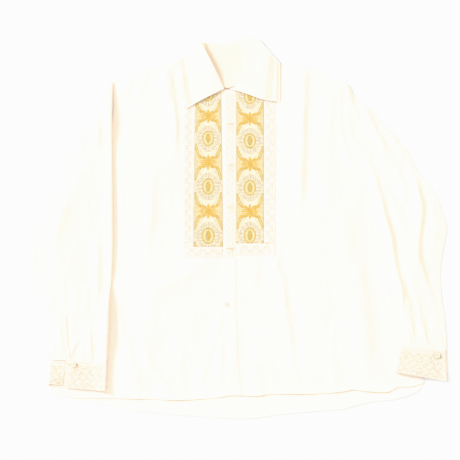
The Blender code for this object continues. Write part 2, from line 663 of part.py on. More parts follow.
def buttons():
    """Buttons under the placket, one that shows at its edge, and one on each cuff."""
    for index, station in enumerate(BUTTON_STATIONS, start=1):
        x = float(PLACKET_LINE.x_at(station)) + PLACKET_WIDTH * 0.42
        place = Knot(x, station)
        reach = 0.5 * BUTTON_WIDTH
        around = [float(front_top(np.array(place.x + dx), np.array(place.y + dy)))
                  for dx in (-reach, 0, reach) for dy in (-reach, 0, reach)]
        button("front_button_%d" % index, place, max(around) + 0.05, height=BUTTON_HEIGHT - 0.2)
    place = LOWEST_BUTTON
    top = float(front_top(np.array(place.x), np.array(place.y)))
    button("front_button_5", place, top + GAP + WALL + GAP)
    cuff_places = {"cuff_button_left": CUFF_BUTTON_LEFT, "cuff_button_right": CUFF_BUTTON_RIGHT}
    for name, place in cuff_places.items():
        rest = max(float(rest_height(np.array(place.x + dx), np.array(place.y))) for dx in (-6, 0, 6))
        button(name, place, rest + 2 * LAYER + WALL + GAP, width=CUFF_BUTTON_WIDTH)


def panel(name, top, foot, left, right):
    """One front, from shoulder and neck to hem."""
    places = patch(top, foot, left, right, PANEL_ROWS, PANEL_COLUMNS)
    heights = front_top(places[..., 0], places[..., 1])
    return thick_sheet(name, lift(places, heights), lift(places, heights - WALL))


def fronts():
    """The two fronts, which meet under the placket."""
    meeting = Curve([Knot(k.x + PLACKET_CENTRE, k.y) for k in PLACKET_EDGE])
    top_left = Curve(SHOULDER_LEFT + NECK_LEFT)
    neck_point = Knot(NECK_RIGHT[0].x + MEETING_GAP, NECK_RIGHT[0].y)
    top_right = Curve([neck_point] + NECK_RIGHT[1:] + SHOULDER_RIGHT)
    panel("front_left", top_left, Curve(HEM_LEFT), BODY_LEFT, meeting)
    shifted = Curve([Knot(k.x + PLACKET_CENTRE + MEETING_GAP, k.y) for k in PLACKET_EDGE])
    panel("front_right", top_right, Curve(HEM_RIGHT), shifted, BODY_RIGHT)


def back():
    """The back, one flat layer on the surface, longer than the fronts at its hem."""
    mesh = bpy.data.meshes.new("back")
    bm = bmesh.new()
    bm.faces.new([bm.verts.new((x * MM, y * MM, 0.0)) for x, y in BODY_OUTLINE])
    bmesh.ops.recalc_face_normals(bm, faces=bm.faces)
    if bm.faces[:][0].normal.z < 0:
        bmesh.ops.reverse_faces(bm, faces=bm.faces)
    bm.to_mesh(mesh)
    bm.free()
    item = new_object("back", mesh, IVORY, CLOTH_ROUGHNESS, smooth=False)
    wall = item.modifiers.new("wall", "SOLIDIFY")
    wall.thickness = WALL * MM
    wall.offset = 1.0


def main():
    """Build the shirt from its cut pieces."""
    for item in list(bpy.data.objects):
        bpy.data.objects.remove(item)
    collection = bpy.data.collections.new("barong_tagalog_shirt")
    bpy.context.scene.collection.children.link(collection)
    back()
    fronts()
    bib()
    placket()
    upper = sleeve("sleeve_left", SLEEVE_LEFT_OUTER, SLEEVE_LEFT_INNER, SLEEVE_LEFT_FOLDS,
                   ROLL_LEFT, mirrored=False)
    slit_binding(upper)
    sleeve("sleeve_right", SLEEVE_RIGHT_OUTER, SLEEVE_RIGHT_INNER, SLEEVE_RIGHT_FOLDS,
           ROLL_RIGHT, mirrored=True)
    cuff("cuff_left", CUFF_LEFT_SIDES, CUFF_LAP_LEFT, lap_on_left=True)
    cuff("cuff_right", CUFF_RIGHT_SIDES, CUFF_LAP_RIGHT, lap_on_left=False)
    back_collar()
    leaf("collar_leaf_left", Curve(COLLAR_TOP_LEFT), Curve(COLLAR_FOOT_LEFT),
         Curve(COLLAR_EDGE_LEFT), Curve(COLLAR_FOLD_LEFT), fold_on_right=True)
    leaf("collar_leaf_right", Curve(COLLAR_TOP_RIGHT), Curve(COLLAR_FOOT_RIGHT),
         Curve(COLLAR_FOLD_RIGHT), Curve(COLLAR_EDGE_RIGHT), fold_on_right=False)
    buttons()


main()
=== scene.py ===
"""Looks of a barong tagalog shirt laid flat: cloth, embroidery, sewing and buttons.

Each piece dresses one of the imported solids, or is sewn on one that does.

+X runs to the right of the front view, +Y towards the collar and +Z up from the surface.
Tables and sizes are in millimetres, and meshes are made in metres.
Left and right are those of the front view.
"""

import logging
import math
from collections.abc import Callable, Sequence
from dataclasses import dataclass, field
from enum import IntEnum
from typing import NamedTuple

import bmesh
import bpy
import numpy as np
from mathutils import Matrix, Vector


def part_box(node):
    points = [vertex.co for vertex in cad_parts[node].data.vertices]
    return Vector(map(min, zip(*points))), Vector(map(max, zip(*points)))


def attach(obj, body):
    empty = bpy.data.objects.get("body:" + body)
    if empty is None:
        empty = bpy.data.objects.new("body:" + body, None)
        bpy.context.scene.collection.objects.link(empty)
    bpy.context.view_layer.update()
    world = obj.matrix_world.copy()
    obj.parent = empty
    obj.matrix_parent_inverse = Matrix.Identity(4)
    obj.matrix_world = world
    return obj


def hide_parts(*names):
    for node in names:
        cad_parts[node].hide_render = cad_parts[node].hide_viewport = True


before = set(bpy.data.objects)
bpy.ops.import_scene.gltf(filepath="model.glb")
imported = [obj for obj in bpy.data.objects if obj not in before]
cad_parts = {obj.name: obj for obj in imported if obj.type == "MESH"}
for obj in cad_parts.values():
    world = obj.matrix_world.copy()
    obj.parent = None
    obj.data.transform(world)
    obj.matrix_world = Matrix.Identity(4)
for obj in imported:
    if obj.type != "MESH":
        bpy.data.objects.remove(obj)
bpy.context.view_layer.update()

LOG = logging.getLogger("barong")
MM = 0.001
NO_LENGTH = 1e-9
Array = np.ndarray
Item = bpy.types.Object
Material = bpy.types.Material
Socket = bpy.types.NodeSocket
Colour = tuple[float, float, float]
Line = Callable[[Array], Array]
Field = Callable[[Array, Array], Array]

# Layers of the laid shirt, as in its solids
LAYER_WALL = 1.0
GAP = 0.3
LAYER = LAYER_WALL + GAP
FRONT_BASE = 2 * LAYER_WALL + GAP
ON_FRONT = FRONT_BASE + GAP
CUFF_STACK = 3 * LAYER_WALL + 2 * GAP

# The cloth itself
CLOTH = 0.7
PUFF = 3.4
PUFF_REACH = 70.0
PUFF_SPREAD = 150.0
PUFF_LEAST = 0.35
FOLD_MARGIN = 14.0
HOLD, CAP_HOLD = 16.0, 4.0
FALL, CAP_FALL = 24.0, 15.0
BIB_STILLNESS = 0.3
BIB_MARGIN = 14.0
CREST_SHIFT = 0.7
UNEVEN_LENGTH = 60.0
FRONT_CALM = 0.92
HEM_WIDTH = 8.0
HEM_FOLD = 0.5
HEM_REACH = 26.0
SIDE_DROP = 0.55
ARMHOLE_RISE = 1.5

PLACKET_WIDTH = 24.0
PLACKET_CENTRE = 14.0
BUTTON_HEIGHT = 1.6
BAND_HEAD = 8.0
BAND_TOP = 271.5
STRIP_TOP = 268.0
LEAF_COVER = 2.0
MOTIF_REPEAT = 95.0


class Knot(NamedTuple):
    """A place on the laid shirt, in millimetres."""

    x: float
    y: float


class Crease(NamedTuple):
    """A fold: the line of its shaded side, its height and its widths on both sides."""

    path: tuple[tuple[float, float], ...]
    height: float
    lee: float
    luff: float


class Swell(NamedTuple):
    """A height at a share of a line, or at a place across."""

    along: float
    height: float


class Strip(NamedTuple):
    """A straight strip of the bib: its corners across at the top and at the foot, and its foot."""

    left_top: float
    left_foot: float
    right_top: float
    right_foot: float
    foot: float


class RunStitch(NamedTuple):
    """Stitches in line: the length, spacing, width and height of each."""

    length: float
    pitch: float
    width: float
    height: float


class SatinStitch(NamedTuple):
    """Stitches laid close together across a line: their reach across it, spacing and height."""

    reach: float
    pitch: float
    height: float


class Ray(NamedTuple):
    """A ray of the bands' star: its turn, level, length, width and the rim of thread round it."""

    turn: float
    level: float
    length: float
    width: float
    rim: float
    outline: int


class Thread(IntEnum):
    """Threads of the embroidery, in the order of a mesh's material slots."""

    GOLD = 0
    OLIVE = 1
    STRAW = 2
    CREAM = 3
    BEIGE = 4
    AMBER = 5
    LINEN = 6


def knots(*pairs: tuple[float, float]) -> list[Knot]:
    """Knots from pairs of millimetres."""
    return [Knot(*pair) for pair in pairs]


SHOULDER_LEFT = knots((-253, 287), (-228, 297), (-198, 310), (-159, 320), (-123, 325))
NECK_BACK = knots((-123, 325), (-60, 320), (-20, 318), (20, 319), (80, 323))
SHOULDER_RIGHT = knots((80, 323), (112, 321), (137, 317), (165, 305), (192, 291), (206, 288))
NECK_LEFT = knots((-99, 326), (-80, 306), (-56, 287), (-34, 274), (-19.5, 272))
NECK_RIGHT = knots((-18.6, 272), (-1, 275), (23, 290), (42, 310), (54, 324))
SIDE_LEFT = knots(
    (-253, 287), (-250, 240), (-255, 200), (-272, 140), (-299, 88), (-326, 54), (-336, -10),
    (-347, -120), (-360, -230), (-371, -326))
SIDE_RIGHT = knots(
    (206, 288), (207, 240), (208, 192), (222, 143), (234, 117), (249, 84), (273, 44), (298, 8),
    (318, -90), (338, -200), (361, -306))
HEM_LEFT = knots(
    (-371, -326), (-346, -332), (-320, -336), (-257, -336), (-188, -338), (-119, -340),
    (-80, -338), (-50, -336), (-19, -331), (-5, -331))
HEM_RIGHT = knots(
    (-4.5, -331), (29, -332), (68, -328), (157, -327), (206, -322), (220, -319), (245, -322),
    (285, -324), (300, -319), (310, -314), (335, -313), (361, -306))
HEM_BACK = knots(
    (-371, -326), (-326, -339), (-287, -344), (-247, -352), (-198, -361), (-149, -366),
    (-80, -371), (-11, -375), (29, -374), (78, -367), (147, -361), (202, -356), (235, -347),
    (265, -341), (304, -337), (344, -324), (361, -306))
PLACKET_EDGE = knots(
    (-33.5, 271), (-33.5, 100), (-33.5, -58), (-32.5, -151), (-30, -241), (-25, -300), (-19, -330))
SLEEVE_LEFT_OUTER = knots(
    (-259, 285), (-269, 265), (-283, 241), (-300, 212), (-328, 163), (-346, 123), (-360, 94),
    (-375, 54), (-387, 25), (-399, -5), (-407, -35), (-409, -64), (-407, -94), (-401, -123),
    (-393, -145), (-384, -172), (-380, -202), (-377, -235), (-375, -261))
SLEEVE_LEFT_INNER = knots(
    (-251, 286), (-252, 200), (-252, 133), (-251, 30), (-251, -44), (-253, -94), (-257, -143),
    (-259, -202), (-262, -262))
SLEEVE_RIGHT_INNER = knots(
    (203, 286), (205, 240), (206, 192), (220, 143), (231, 117), (241, 94), (252, 68), (258, 35),
    (263, -9), (271, -44), (281, -123), (291, -159), (306, -208), (314, -233))
SLEEVE_RIGHT_OUTER = knots(
    (211, 283), (222, 261), (235, 247), (255, 235), (269, 218), (300, 188), (316, 166),
    (330, 149), (352, 109), (379, 74), (390, 52), (397, 29), (406, 3), (402, -30), (396, -60),
    (393, -94), (397, -143), (401, -172), (405, -220), (405, -242))
CUFF_LEFT_OUTER = knots((-376, -262), (-379, -312))
CUFF_LEFT_INNER = knots((-262, -263), (-265, -321))
CUFF_RIGHT_INNER = knots((314, -234), (302, -283))
CUFF_RIGHT_OUTER = knots((406, -243), (409, -303))
OPEN_RIGHT = knots(
    (200, 280), (202, 192), (216, 143), (227, 117), (247, 68), (256, 0), (266, -44), (276, -123),
    (288, -165), (294, -210), (294, -315))
OPEN_LEFT_EDGE = -244.0
OPEN_TOP, OPEN_FOOT = 280.0, -326.0
ARMHOLE_FOOT = 100.0

LEAF_LEFT_TOP = knots((-123, 330), (-112, 338), (-99, 346), (-81, 367))
LEAF_LEFT_FOLD = knots((-81, 367), (-57, 320), (-33.5, 272))
LEAF_LEFT_EDGE = knots((-123, 330), (-114, 282), (-106, 234))
LEAF_LEFT_FOOT = knots((-106, 234), (-80, 249), (-60, 259), (-33.5, 272))
LEAF_RIGHT_TOP = knots((1, 369), (18, 373), (32, 375), (44, 361), (60, 343), (77, 324))
LEAF_RIGHT_FOLD = knots((1, 369), (5, 330), (4, 298), (-8, 279), (-21, 272))
LEAF_RIGHT_EDGE = knots((77, 324), (78, 286), (77, 247))
LEAF_RIGHT_FOOT = knots((-21, 272), (-1, 267), (19, 260), (38, 253), (58, 249), (77, 247))
NECK_TOP = knots(
    (-116, 330.5), (-98, 342), (-81, 363), (-50, 363), (-36, 361), (-24, 364), (0, 369),
    (30, 370), (43, 357), (57, 342), (70, 327.5))
NECK_FOOT = knots(
    (-116, 318), (-99, 315), (-80, 301), (-56, 285), (-38, 277), (-28, 275), (-18, 276), (0, 284),
    (22, 294), (44, 308), (70, 315))
NECK_SEAM = 310.0
NAPE = 327.0

GOLD_LEFT = Strip(-89, -93, -38.5, -34, -38)
GOLD_RIGHT = Strip(-9, -9, 46, 46, -31)
SIDE_STRIP_LEFT = Strip(-112, -113, -89.4, -93.4, -38)
SIDE_STRIP_RIGHT = Strip(46.4, 46.4, 68, 68, -31)
FOOT_STRIP_LEFT = Strip(-113, -113, -34, -34, -59)
FOOT_STRIP_RIGHT = Strip(-9, -9, 68, 68, -54)
OVALS_LEFT = (261.8, 175.9, 80.8, -16.4)
OVALS_RIGHT = (257.1, 171.0, 78.4, -15.6)

FRONT_CREASES = (
    Crease(((-140, 340), (-134, 280), (-127, 235), (-124, 180), (-122, 90)), 4.4, 5.5, 15.0),
    Crease(((-150, 344), (-146, 312), (-139, 268), (-136, 236)), 2.6, 4.0, 9.0),
    Crease(((-168, 124), (-170, 50), (-171, -34)), 3.4, 8.0, 16.0),
    Crease(((-178, 16), (-180, -30), (-183, -78)), 1.6, 7.0, 12.0),
    Crease(((-200, 330), (-212, 288), (-234, 240)), 2.6, 7.0, 13.0),
    Crease(((-174, 332), (-184, 292), (-200, 250)), 2.3, 7.0, 12.0),
    Crease(((-52, -68), (-88, -90), (-130, -118), (-192, -152)), 3.2, 14.0, 22.0),
    Crease(((-256, -120), (-240, -170), (-222, -222), (-207, -272), (-186, -350)), 3.2, 7.0, 13.0),
    Crease(((-196, -214), (-176, -256), (-152, -298), (-120, -350)), 2.8, 6.0, 12.0),
    Crease(((-31, -152), (-38, -186), (-47, -220), (-62, -262), (-92, -352)), 2.6, 4.5, 9.0),
    Crease(((-26, -180), (-33, -212), (-42, -240)), 1.3, 4.0, 7.0),
    Crease(((-33, -212), (-35, -262), (-36, -318)), 2.4, 5.0, 10.0),
    Crease(((-7, -222), (-6, -250), (-4, -290)), 1.4, 4.0, 8.0),
    Crease(((62, -14), (70, -54), (80, -86), (88, -122), (97, -192), (107, -268), (124, -372)),
           3.8, 6.0, 13.0),
    Crease(((35, -56), (33, -95), (30, -134)), 1.6, 5.0, 10.0),
    Crease(((135, 334), (130, 271), (127, 192), (124, 100), (118, 4)), 5.4, 8.0, 15.0),
    Crease(((187, 286), (182, 225), (175, 166)), 1.8, 6.0, 11.0),
    Crease(((238, -40), (246, -120), (254, -216), (262, -360)), 4.8, 15.0, 26.0),
    Crease(((212, 60), (214, -20), (218, -110)), 1.4, 12.0, 18.0),
    Crease(((30, -250), (40, -300), (48, -360)), 1.4, 6.0, 11.0),
    Crease(((178, -190), (186, -250), (196, -360)), 1.6, 8.0, 15.0),
    Crease(((-118, -200), (-112, -262), (-104, -360)), 1.5, 8.0, 14.0),
    Crease(((-236, 180), (-233, 110), (-232, 20)), 1.4, 7.0, 10.0),
)
SLEEVE_LEFT_CREASES = (
    Crease(((-277, 240), (-277, 190), (-277, 140)), 2.4, 5.0, 10.0),
    Crease(((-276, 10), (-277, -80), (-278, -128), (-286, -196)), 2.8, 5.0, 10.0),
    Crease(((-330, 60), (-350, 6), (-374, -58)), 3.2, 12.0, 20.0),
    Crease(((-318, -108), (-320, -142), (-318, -176)), 2.2, 4.0, 8.0),
    Crease(((-312, -118), (-311, -148), (-306, -182)), 1.6, 4.0, 7.0),
    Crease(((-300, -112), (-299, -146), (-298, -180)), 1.8, 4.0, 8.0),
    Crease(((-351, -158), (-352, -190), (-350, -222), (-344, -268)), 1.5, 3.0, 7.0),
    Crease(((-316, -218), (-326, -238), (-336, -266)), 2.2, 3.0, 6.0),
    Crease(((-302, 200), (-312, 120), (-330, 40)), 1.8, 10.0, 18.0),
    Crease(((-372, -60), (-372, -120), (-366, -180)), 1.8, 6.0, 11.0),
    Crease(((-296, -196), (-292, -230), (-288, -276)), 1.9, 4.0, 8.0),
)
SLEEVE_RIGHT_CREASES = (
    Crease(((256, 138), (269, 94), (279, 54), (287, 25), (297, -15), (304, -54), (312, -94),
            (318, -123), (322, -153), (330, -200), (338, -244)),
           5.8, 5.0, 13.0),
    Crease(((316, -106), (330, -143), (338, -182), (344, -226)), 3.0, 4.5, 9.0),
    Crease(((330, 148), (342, 109), (350, 84), (356, 58), (359, 29), (356, -5), (352, -34),
            (352, -60), (360, -78), (367, -103), (375, -127), (383, -149), (396, -192)),
           5.0, 5.0, 13.0),
    Crease(((304, 138), (318, 97), (324, 74), (332, 34)), 2.4, 5.0, 10.0),
    Crease(((214, 268), (227, 235), (238, 204)), 1.8, 4.0, 8.0),
    Crease(((240, 246), (259, 216), (271, 192), (283, 166), (294, 138)), 3.0, 5.0, 10.0),
    Crease(((380, 52), (388, 10), (384, -40)), 1.6, 7.0, 12.0),
    Crease(((232, 262), (252, 222), (268, 184), (276, 140)), 1.5, 4.5, 9.0),
    Crease(((262, 234), (290, 200), (314, 164), (334, 122)), 1.9, 5.0, 9.0),
    Crease(((246, 158), (262, 112), (272, 66)), 1.3, 5.0, 9.0),
    Crease(((276, -40), (290, -110), (306, -180)), 1.6, 6.0, 10.0),
    Crease(((352, -170), (362, -206), (370, -246)), 2.0, 4.0, 8.0),
)
ROLL_LEFT = (
    Swell(0.0, 2.2), Swell(0.04, 5.0), Swell(0.13, 10.5), Swell(0.22, 6.4), Swell(0.3, 5.6),
    Swell(0.5, 7.0), Swell(0.66, 5.8), Swell(0.725, 2.8), Swell(0.79, 12.0), Swell(0.9, 14.5),
    Swell(1.0, 9.0))
ROLL_RIGHT = (
    Swell(0.0, 1.9), Swell(0.3, 2.0), Swell(0.42, 3.4), Swell(0.7, 4.0), Swell(0.9, 4.2),
    Swell(1.0, 3.8))
HEM_LIFTS = (
    Swell(-262, 0.0), Swell(-236, 0.2), Swell(-188, 0.1), Swell(-119, 0.6), Swell(-66, 0.1),
    Swell(-19, 0.3), Swell(29, 0.9), Swell(68, 0.3), Swell(112, 1.2), Swell(157, 0.5),
    Swell(206, 0.2), Swell(245, 1.2), Swell(288, 0.9), Swell(298, 0.0))

# Repeat of the gold bands
ARM_LINE = (Swell(3.0, 10.0), Swell(8.0, 14.5), Swell(14.0, 18.0), Swell(20.0, 20.5),
            Swell(29.0, 23.0), Swell(36.0, 24.4))
ARM_HALF = (Swell(3.0, 3.4), Swell(9.0, 3.0), Swell(16.0, 2.5), Swell(26.0, 1.9), Swell(36.0, 0.8))
STAR_HEART = 3.0
STAR = (*(Ray(turn, 0.0, 14.0, 2.3, 0.45, Thread.OLIVE) for turn in (46, 134, 226, 314)),
        *(Ray(turn, 0.0, 12.0, 2.2, 0.4, Thread.STRAW) for turn in (90, 270)),
        *(Ray(turn, level, length, 1.35, 0.6, Thread.STRAW) for turn in (0, 180)
          for level, length in ((-3.8, 12.0), (3.8, 12.0), (0.0, 15.0))))
RING_HALF = Knot(11.3, 15.8)
HEART_HALF = Knot(4.2, 8.4)
HALO_EDGE = 1.62

# A button's section from the middle of its top, in shares of its radius and of its height
BUTTON_PROFILE = ((0.0, 0.62), (0.42, 0.64), (0.62, 0.78), (0.76, 1.0), (0.90, 0.97),
                  (0.98, 0.78), (1.0, 0.5), (0.95, 0.2), (0.8, 0.0), (0.0, 0.0))

# Sewing
BUTTON_STATIONS = (202.0, 121.0, 40.0, -43.0)
SLIT_LEFT = knots((-346, -172), (-344, -212), (-339, -256))
SLIT_WIDTH = 8.0
HEM_ROW = 1.5
TOPSTITCH = RunStitch(2.2, 3.1, 0.5, 0.28)
HEM_STITCH = RunStitch(2.2, 3.2, 0.45, 0.25)
PLACKET_FILL = RunStitch(2.4, 2.7, 1.9, 0.3)
CUFF_BAND = RunStitch(2.0, 2.4, 1.1, 0.28)
CUFF_HEAD = RunStitch(2.4, 2.9, 0.6, 0.35)
BORDER_SIDE = RunStitch(1.6, 2.2, 0.7, 0.25)
NECK_STITCH = RunStitch(2.2, 3.1, 0.5, 0.3)
BINDING_STITCH = RunStitch(2.0, 2.9, 0.45, 0.28)
STRIP_STEM = SatinStitch(1.7, 1.0, 0.35)
STRIP_EYELET = SatinStitch(1.3, 1.0, 0.42)
CUFF_STEM = SatinStitch(1.6, 0.95, 0.42)
CUFF_EYELET = SatinStitch(1.2, 0.95, 0.42)
PLACKET_HOLE = SatinStitch(1.1, 0.7, 0.4)
PLACKET_BAR = SatinStitch(1.1, 0.7, 0.3)
CUFF_HOLE = SatinStitch(1.3, 0.7, 0.5)
# Dark stitches that paint the shadow of the gap at the cuff's lap.
LAP_PAINTED_SHADOW = SatinStitch(2.1, 0.8, 0.3)
BORDER_BAR = SatinStitch(3.8, 0.9, 0.22)


class Curve:
    """A smooth line through knots, read by its share of the length or by x or y."""

    def __init__(self, line: Sequence[Knot], per_span: int = 10) -> None:
        """Take the knots.

        Args:
            line: The knots, in order.
            per_span: Points between one knot and the next.
        """
        points = np.array([(k[0], k[1]) for k in line], dtype=float)
        ends = np.vstack([2 * points[0] - points[1], points, 2 * points[-1] - points[-2]])
        steps = np.linspace(0.0, 1.0, per_span, endpoint=False)[:, None]
        spans = []
        for a, b, c, d in zip(ends, ends[1:], ends[2:], ends[3:]):
            bend = 2 * a - 5 * b + 4 * c - d
            twist = 3 * (b - c) + d - a
            spans.append(b + 0.5 * steps * ((c - a) + steps * (bend + steps * twist)))
        self.points = np.vstack(spans + [points[-1:]])
        lengths = np.linalg.norm(np.diff(self.points, axis=0), axis=1)
        self.length = float(lengths.sum())
        self.shares = np.concatenate([[0.0], np.cumsum(lengths)]) / self.length

    def at(self, share: Array) -> Array:
        """Points at these shares of the length."""
        return np.stack([np.interp(share, self.shares, self.points[:, i]) for i in (0, 1)], axis=-1)

    def y_at(self, x: Array) -> Array:
        """Height of a line that runs from left to right."""
        return np.interp(x, self.points[:, 0], self.points[:, 1])

    def x_at(self, y: Array) -> Array:
        """Place across of a line that runs downwards."""
        return np.interp(-np.asarray(y), -self.points[:, 1], self.points[:, 0])


def smooth_step(value: Array, low: float, high: float) -> Array:
    """Rise gently from 0 at low to 1 at high."""
    share = np.clip((value - low) / (high - low), 0.0, 1.0)
    return share * share * (3 - 2 * share)


def hump(value: Array, width: float) -> Array:
    """A soft hump of height 1 round 0."""
    return np.exp(-(value / width) ** 2)


def swell_at(where: Array, swells: Sequence[Swell]) -> Array:
    """Heights of a table of swells at these places."""
    return np.interp(where, [s.along for s in swells], [s.height for s in swells])


def past_span(x: Array, low: float, high: float) -> Array:
    """How far these places lie outside the span from low to high."""
    return np.maximum(np.maximum(low - x, x - high), 0.0)


def line_distance(x: Array, y: Array, points: Array) -> tuple[Array, Array, Array]:
    """Measure places against a line of points.

    Args:
        x: Places across.
        y: Places along the shirt.
        points: The line's points, in order.

    Returns:
        The distance to the line, the share of the line at its nearest point, and the side of it:
        1 to the right in view of a line that runs down the shirt, and -1 to its left.
    """
    nearest = np.full(np.shape(x), np.inf)
    share = np.zeros(np.shape(x))
    side = np.ones(np.shape(x))
    count = len(points) - 1
    for index in range(count):
        ax, ay = points[index]
        dx, dy = points[index + 1] - points[index]
        squared = max(dx * dx + dy * dy, NO_LENGTH)
        along = np.clip(((x - ax) * dx + (y - ay) * dy) / squared, 0.0, 1.0)
        distance = np.hypot(x - ax - along * dx, y - ay - along * dy)
        closer = distance < nearest
        share = np.where(closer, (index + along) / count, share)
        side = np.where(closer, np.where(dx * (y - ay) - dy * (x - ax) >= 0, 1.0, -1.0), side)
        nearest = np.minimum(nearest, distance)
    return nearest, share, side


def inside_distance(x: Array, y: Array, outline: Array) -> Array:
    """Distance from an outline, positive inside it.

    Args:
        x: Places across.
        y: Places along the shirt.
        outline: Corners of the outline, in order.

    Returns:
        The distances, below 0 outside.
    """
    closed = np.vstack([outline, outline[:1]])
    distance, _, _ = line_distance(x, y, closed)
    inside = np.zeros(np.shape(x), dtype=bool)
    for (ax, ay), (bx, by) in zip(closed, closed[1:]):
        crosses = (ay > y) != (by > y)
        reach = ax + (y - ay) * (bx - ax) / (by - ay if by != ay else NO_LENGTH)
        inside ^= crosses & (x < reach)
    return np.where(inside, distance, -distance)


def crease_height(x: Array, y: Array, creases: Sequence[Crease]) -> Array:
    """Sum of a table's folds: each with a steep shaded side, a long lit side and a trough.

    Args:
        x: Places across.
        y: Places along the shirt.
        creases: The table of folds.

    Returns:
        The height at each place.
    """
    total = np.zeros(np.shape(x))
    for index, crease in enumerate(creases):
        line = Curve([Knot(*place) for place in crease.path], per_span=5)
        distance, share, side = line_distance(x, y, line.points)
        turns = line.length / UNEVEN_LENGTH
        wander = 0.12 * crease.lee * np.sin(4.0 * turns * share + 2 * index)
        offset = distance * side + CREST_SHIFT * crease.lee + wander
        ridge = hump(offset, np.where(offset > 0, crease.lee, crease.luff))
        trough = 0.16 * hump(offset - 2.5 * crease.lee, 1.3 * crease.lee)
        fade = smooth_step(share, 0.0, 0.25) * smooth_step(1 - share, 0.0, 0.3)
        uneven = 0.9 + 0.13 * np.sin(3.1 * turns * share + 1.7 * index)
        total += crease.height * fade * uneven * (ridge - trough)
    return total


@dataclass(frozen=True)
class Ripple:
    """The slight unevenness of cloth that was folded and smoothed out by hand."""

    seed: int
    wavelength: float
    height: float
    waves: int = 9
    along: float = 0.6

    def at(self, x: Array, y: Array) -> Array:
        """Height of the ripple at these places.

        Args:
            x: Places across.
            y: Places along the shirt.

        Returns:
            The height at each place.
        """
        chance = np.random.default_rng(self.seed)
        total = np.zeros(np.shape(x))
        for _ in range(self.waves):
            turn, phase = chance.uniform(0, 2 * math.pi, 2).tolist()
            stretch = chance.uniform(0.6, 1.6)
            pitch = 2 * math.pi / (self.wavelength * stretch)
            total += np.sin(pitch * (x * math.cos(turn) + self.along * y * math.sin(turn)) + phase)
        return self.height * total / math.sqrt(self.waves)


SHOULDERS = Curve(SHOULDER_LEFT + NECK_BACK[1:] + SHOULDER_RIGHT[1:])
BODY_LEFT = Curve(SIDE_LEFT)
BODY_RIGHT = Curve(SIDE_RIGHT)
BACK_HEM = Curve(HEM_BACK)
FRONT_HEM = Curve(HEM_LEFT + HEM_RIGHT[1:])
PLACKET_LINE = Curve(PLACKET_EDGE)
OPEN_RIGHT_LINE = Curve(OPEN_RIGHT)
DOWN_LINE, UP_LINE = np.linspace(0, 1, 30), np.linspace(1, 0, 30)
BODY_OUTLINE = np.vstack([BODY_LEFT.at(DOWN_LINE), BACK_HEM.at(DOWN_LINE)[1:],
                          BODY_RIGHT.at(UP_LINE)[1:], SHOULDERS.at(UP_LINE)[1:-1]])
OPEN_OUTLINE = np.vstack([[OPEN_LEFT_EDGE, OPEN_TOP], [OPEN_LEFT_EDGE, OPEN_FOOT],
                          OPEN_RIGHT_LINE.at(np.linspace(1, 0, 24)),
                          SHOULDERS.at(np.linspace(0.95, 0.05, 24))])
SMOOTHED = Ripple(seed=3, wavelength=60.0, height=0.48, along=0.45)
RUMPLED = Ripple(seed=8, wavelength=23.0, height=0.13)
STREAKED = Ripple(seed=14, wavelength=16.0, height=0.11, along=0.12)


def applied_distance(x: Array, y: Array) -> Array:
    """Distance from the bib and from the placket below it.

    Args:
        x: Places across.
        y: Places along the shirt.

    Returns:
        The distance of each place.
    """
    past_bib_x = past_span(x, FOOT_STRIP_LEFT.left_foot, FOOT_STRIP_RIGHT.right_foot)
    past_bib_y = np.maximum(FOOT_STRIP_LEFT.foot - y, 0.0)
    from_middle = np.abs(x - PLACKET_LINE.x_at(y) - 0.5 * PLACKET_WIDTH)
    past_placket = np.maximum(from_middle - 0.5 * PLACKET_WIDTH, 0.0)
    return np.minimum(np.hypot(past_bib_x, past_bib_y), past_placket + 6.0)


def hem_height(x: Array, above: Array, lifts: Sequence[Swell]) -> Array:
    """Height that a turned hem adds, above its edge by these distances, with its waves.

    Args:
        x: Places across.
        above: Distances above the hem's edge.
        lifts: The hem's waves.

    Returns:
        The height at each place.
    """
    turned = HEM_FOLD * (1 - smooth_step(above, HEM_WIDTH - 0.8, HEM_WIDTH + 0.8))
    sewn = 0.25 * hump(above - HEM_WIDTH + HEM_ROW, 0.9)
    return turned - sewn + swell_at(x, lifts) * (1 - smooth_step(above, 0.0, HEM_REACH))


def armhole_height(x: Array, y: Array, depth: Array) -> Array:
    """Height of the front where it is eased into the right armhole seam, with its puckers.

    Args:
        x: Places across.
        y: Places along the shirt.
        depth: Distances inside the open part of the front.

    Returns:
        The height at each place.
    """
    distance, share, _ = line_distance(x, y, OPEN_RIGHT_LINE.points[:40])
    run = share * OPEN_RIGHT_LINE.length
    pucker = 1 + 0.3 * np.sin(run / 1.9) * np.sin(run / 7.3 + 1.0)
    rise = smooth_step(distance, 0.0, 3.2) * hump(distance, 15.0)
    rise = rise * smooth_step(y, ARMHOLE_FOOT, ARMHOLE_FOOT + 40)
    return ARMHOLE_RISE * rise * pucker * (depth > 0)


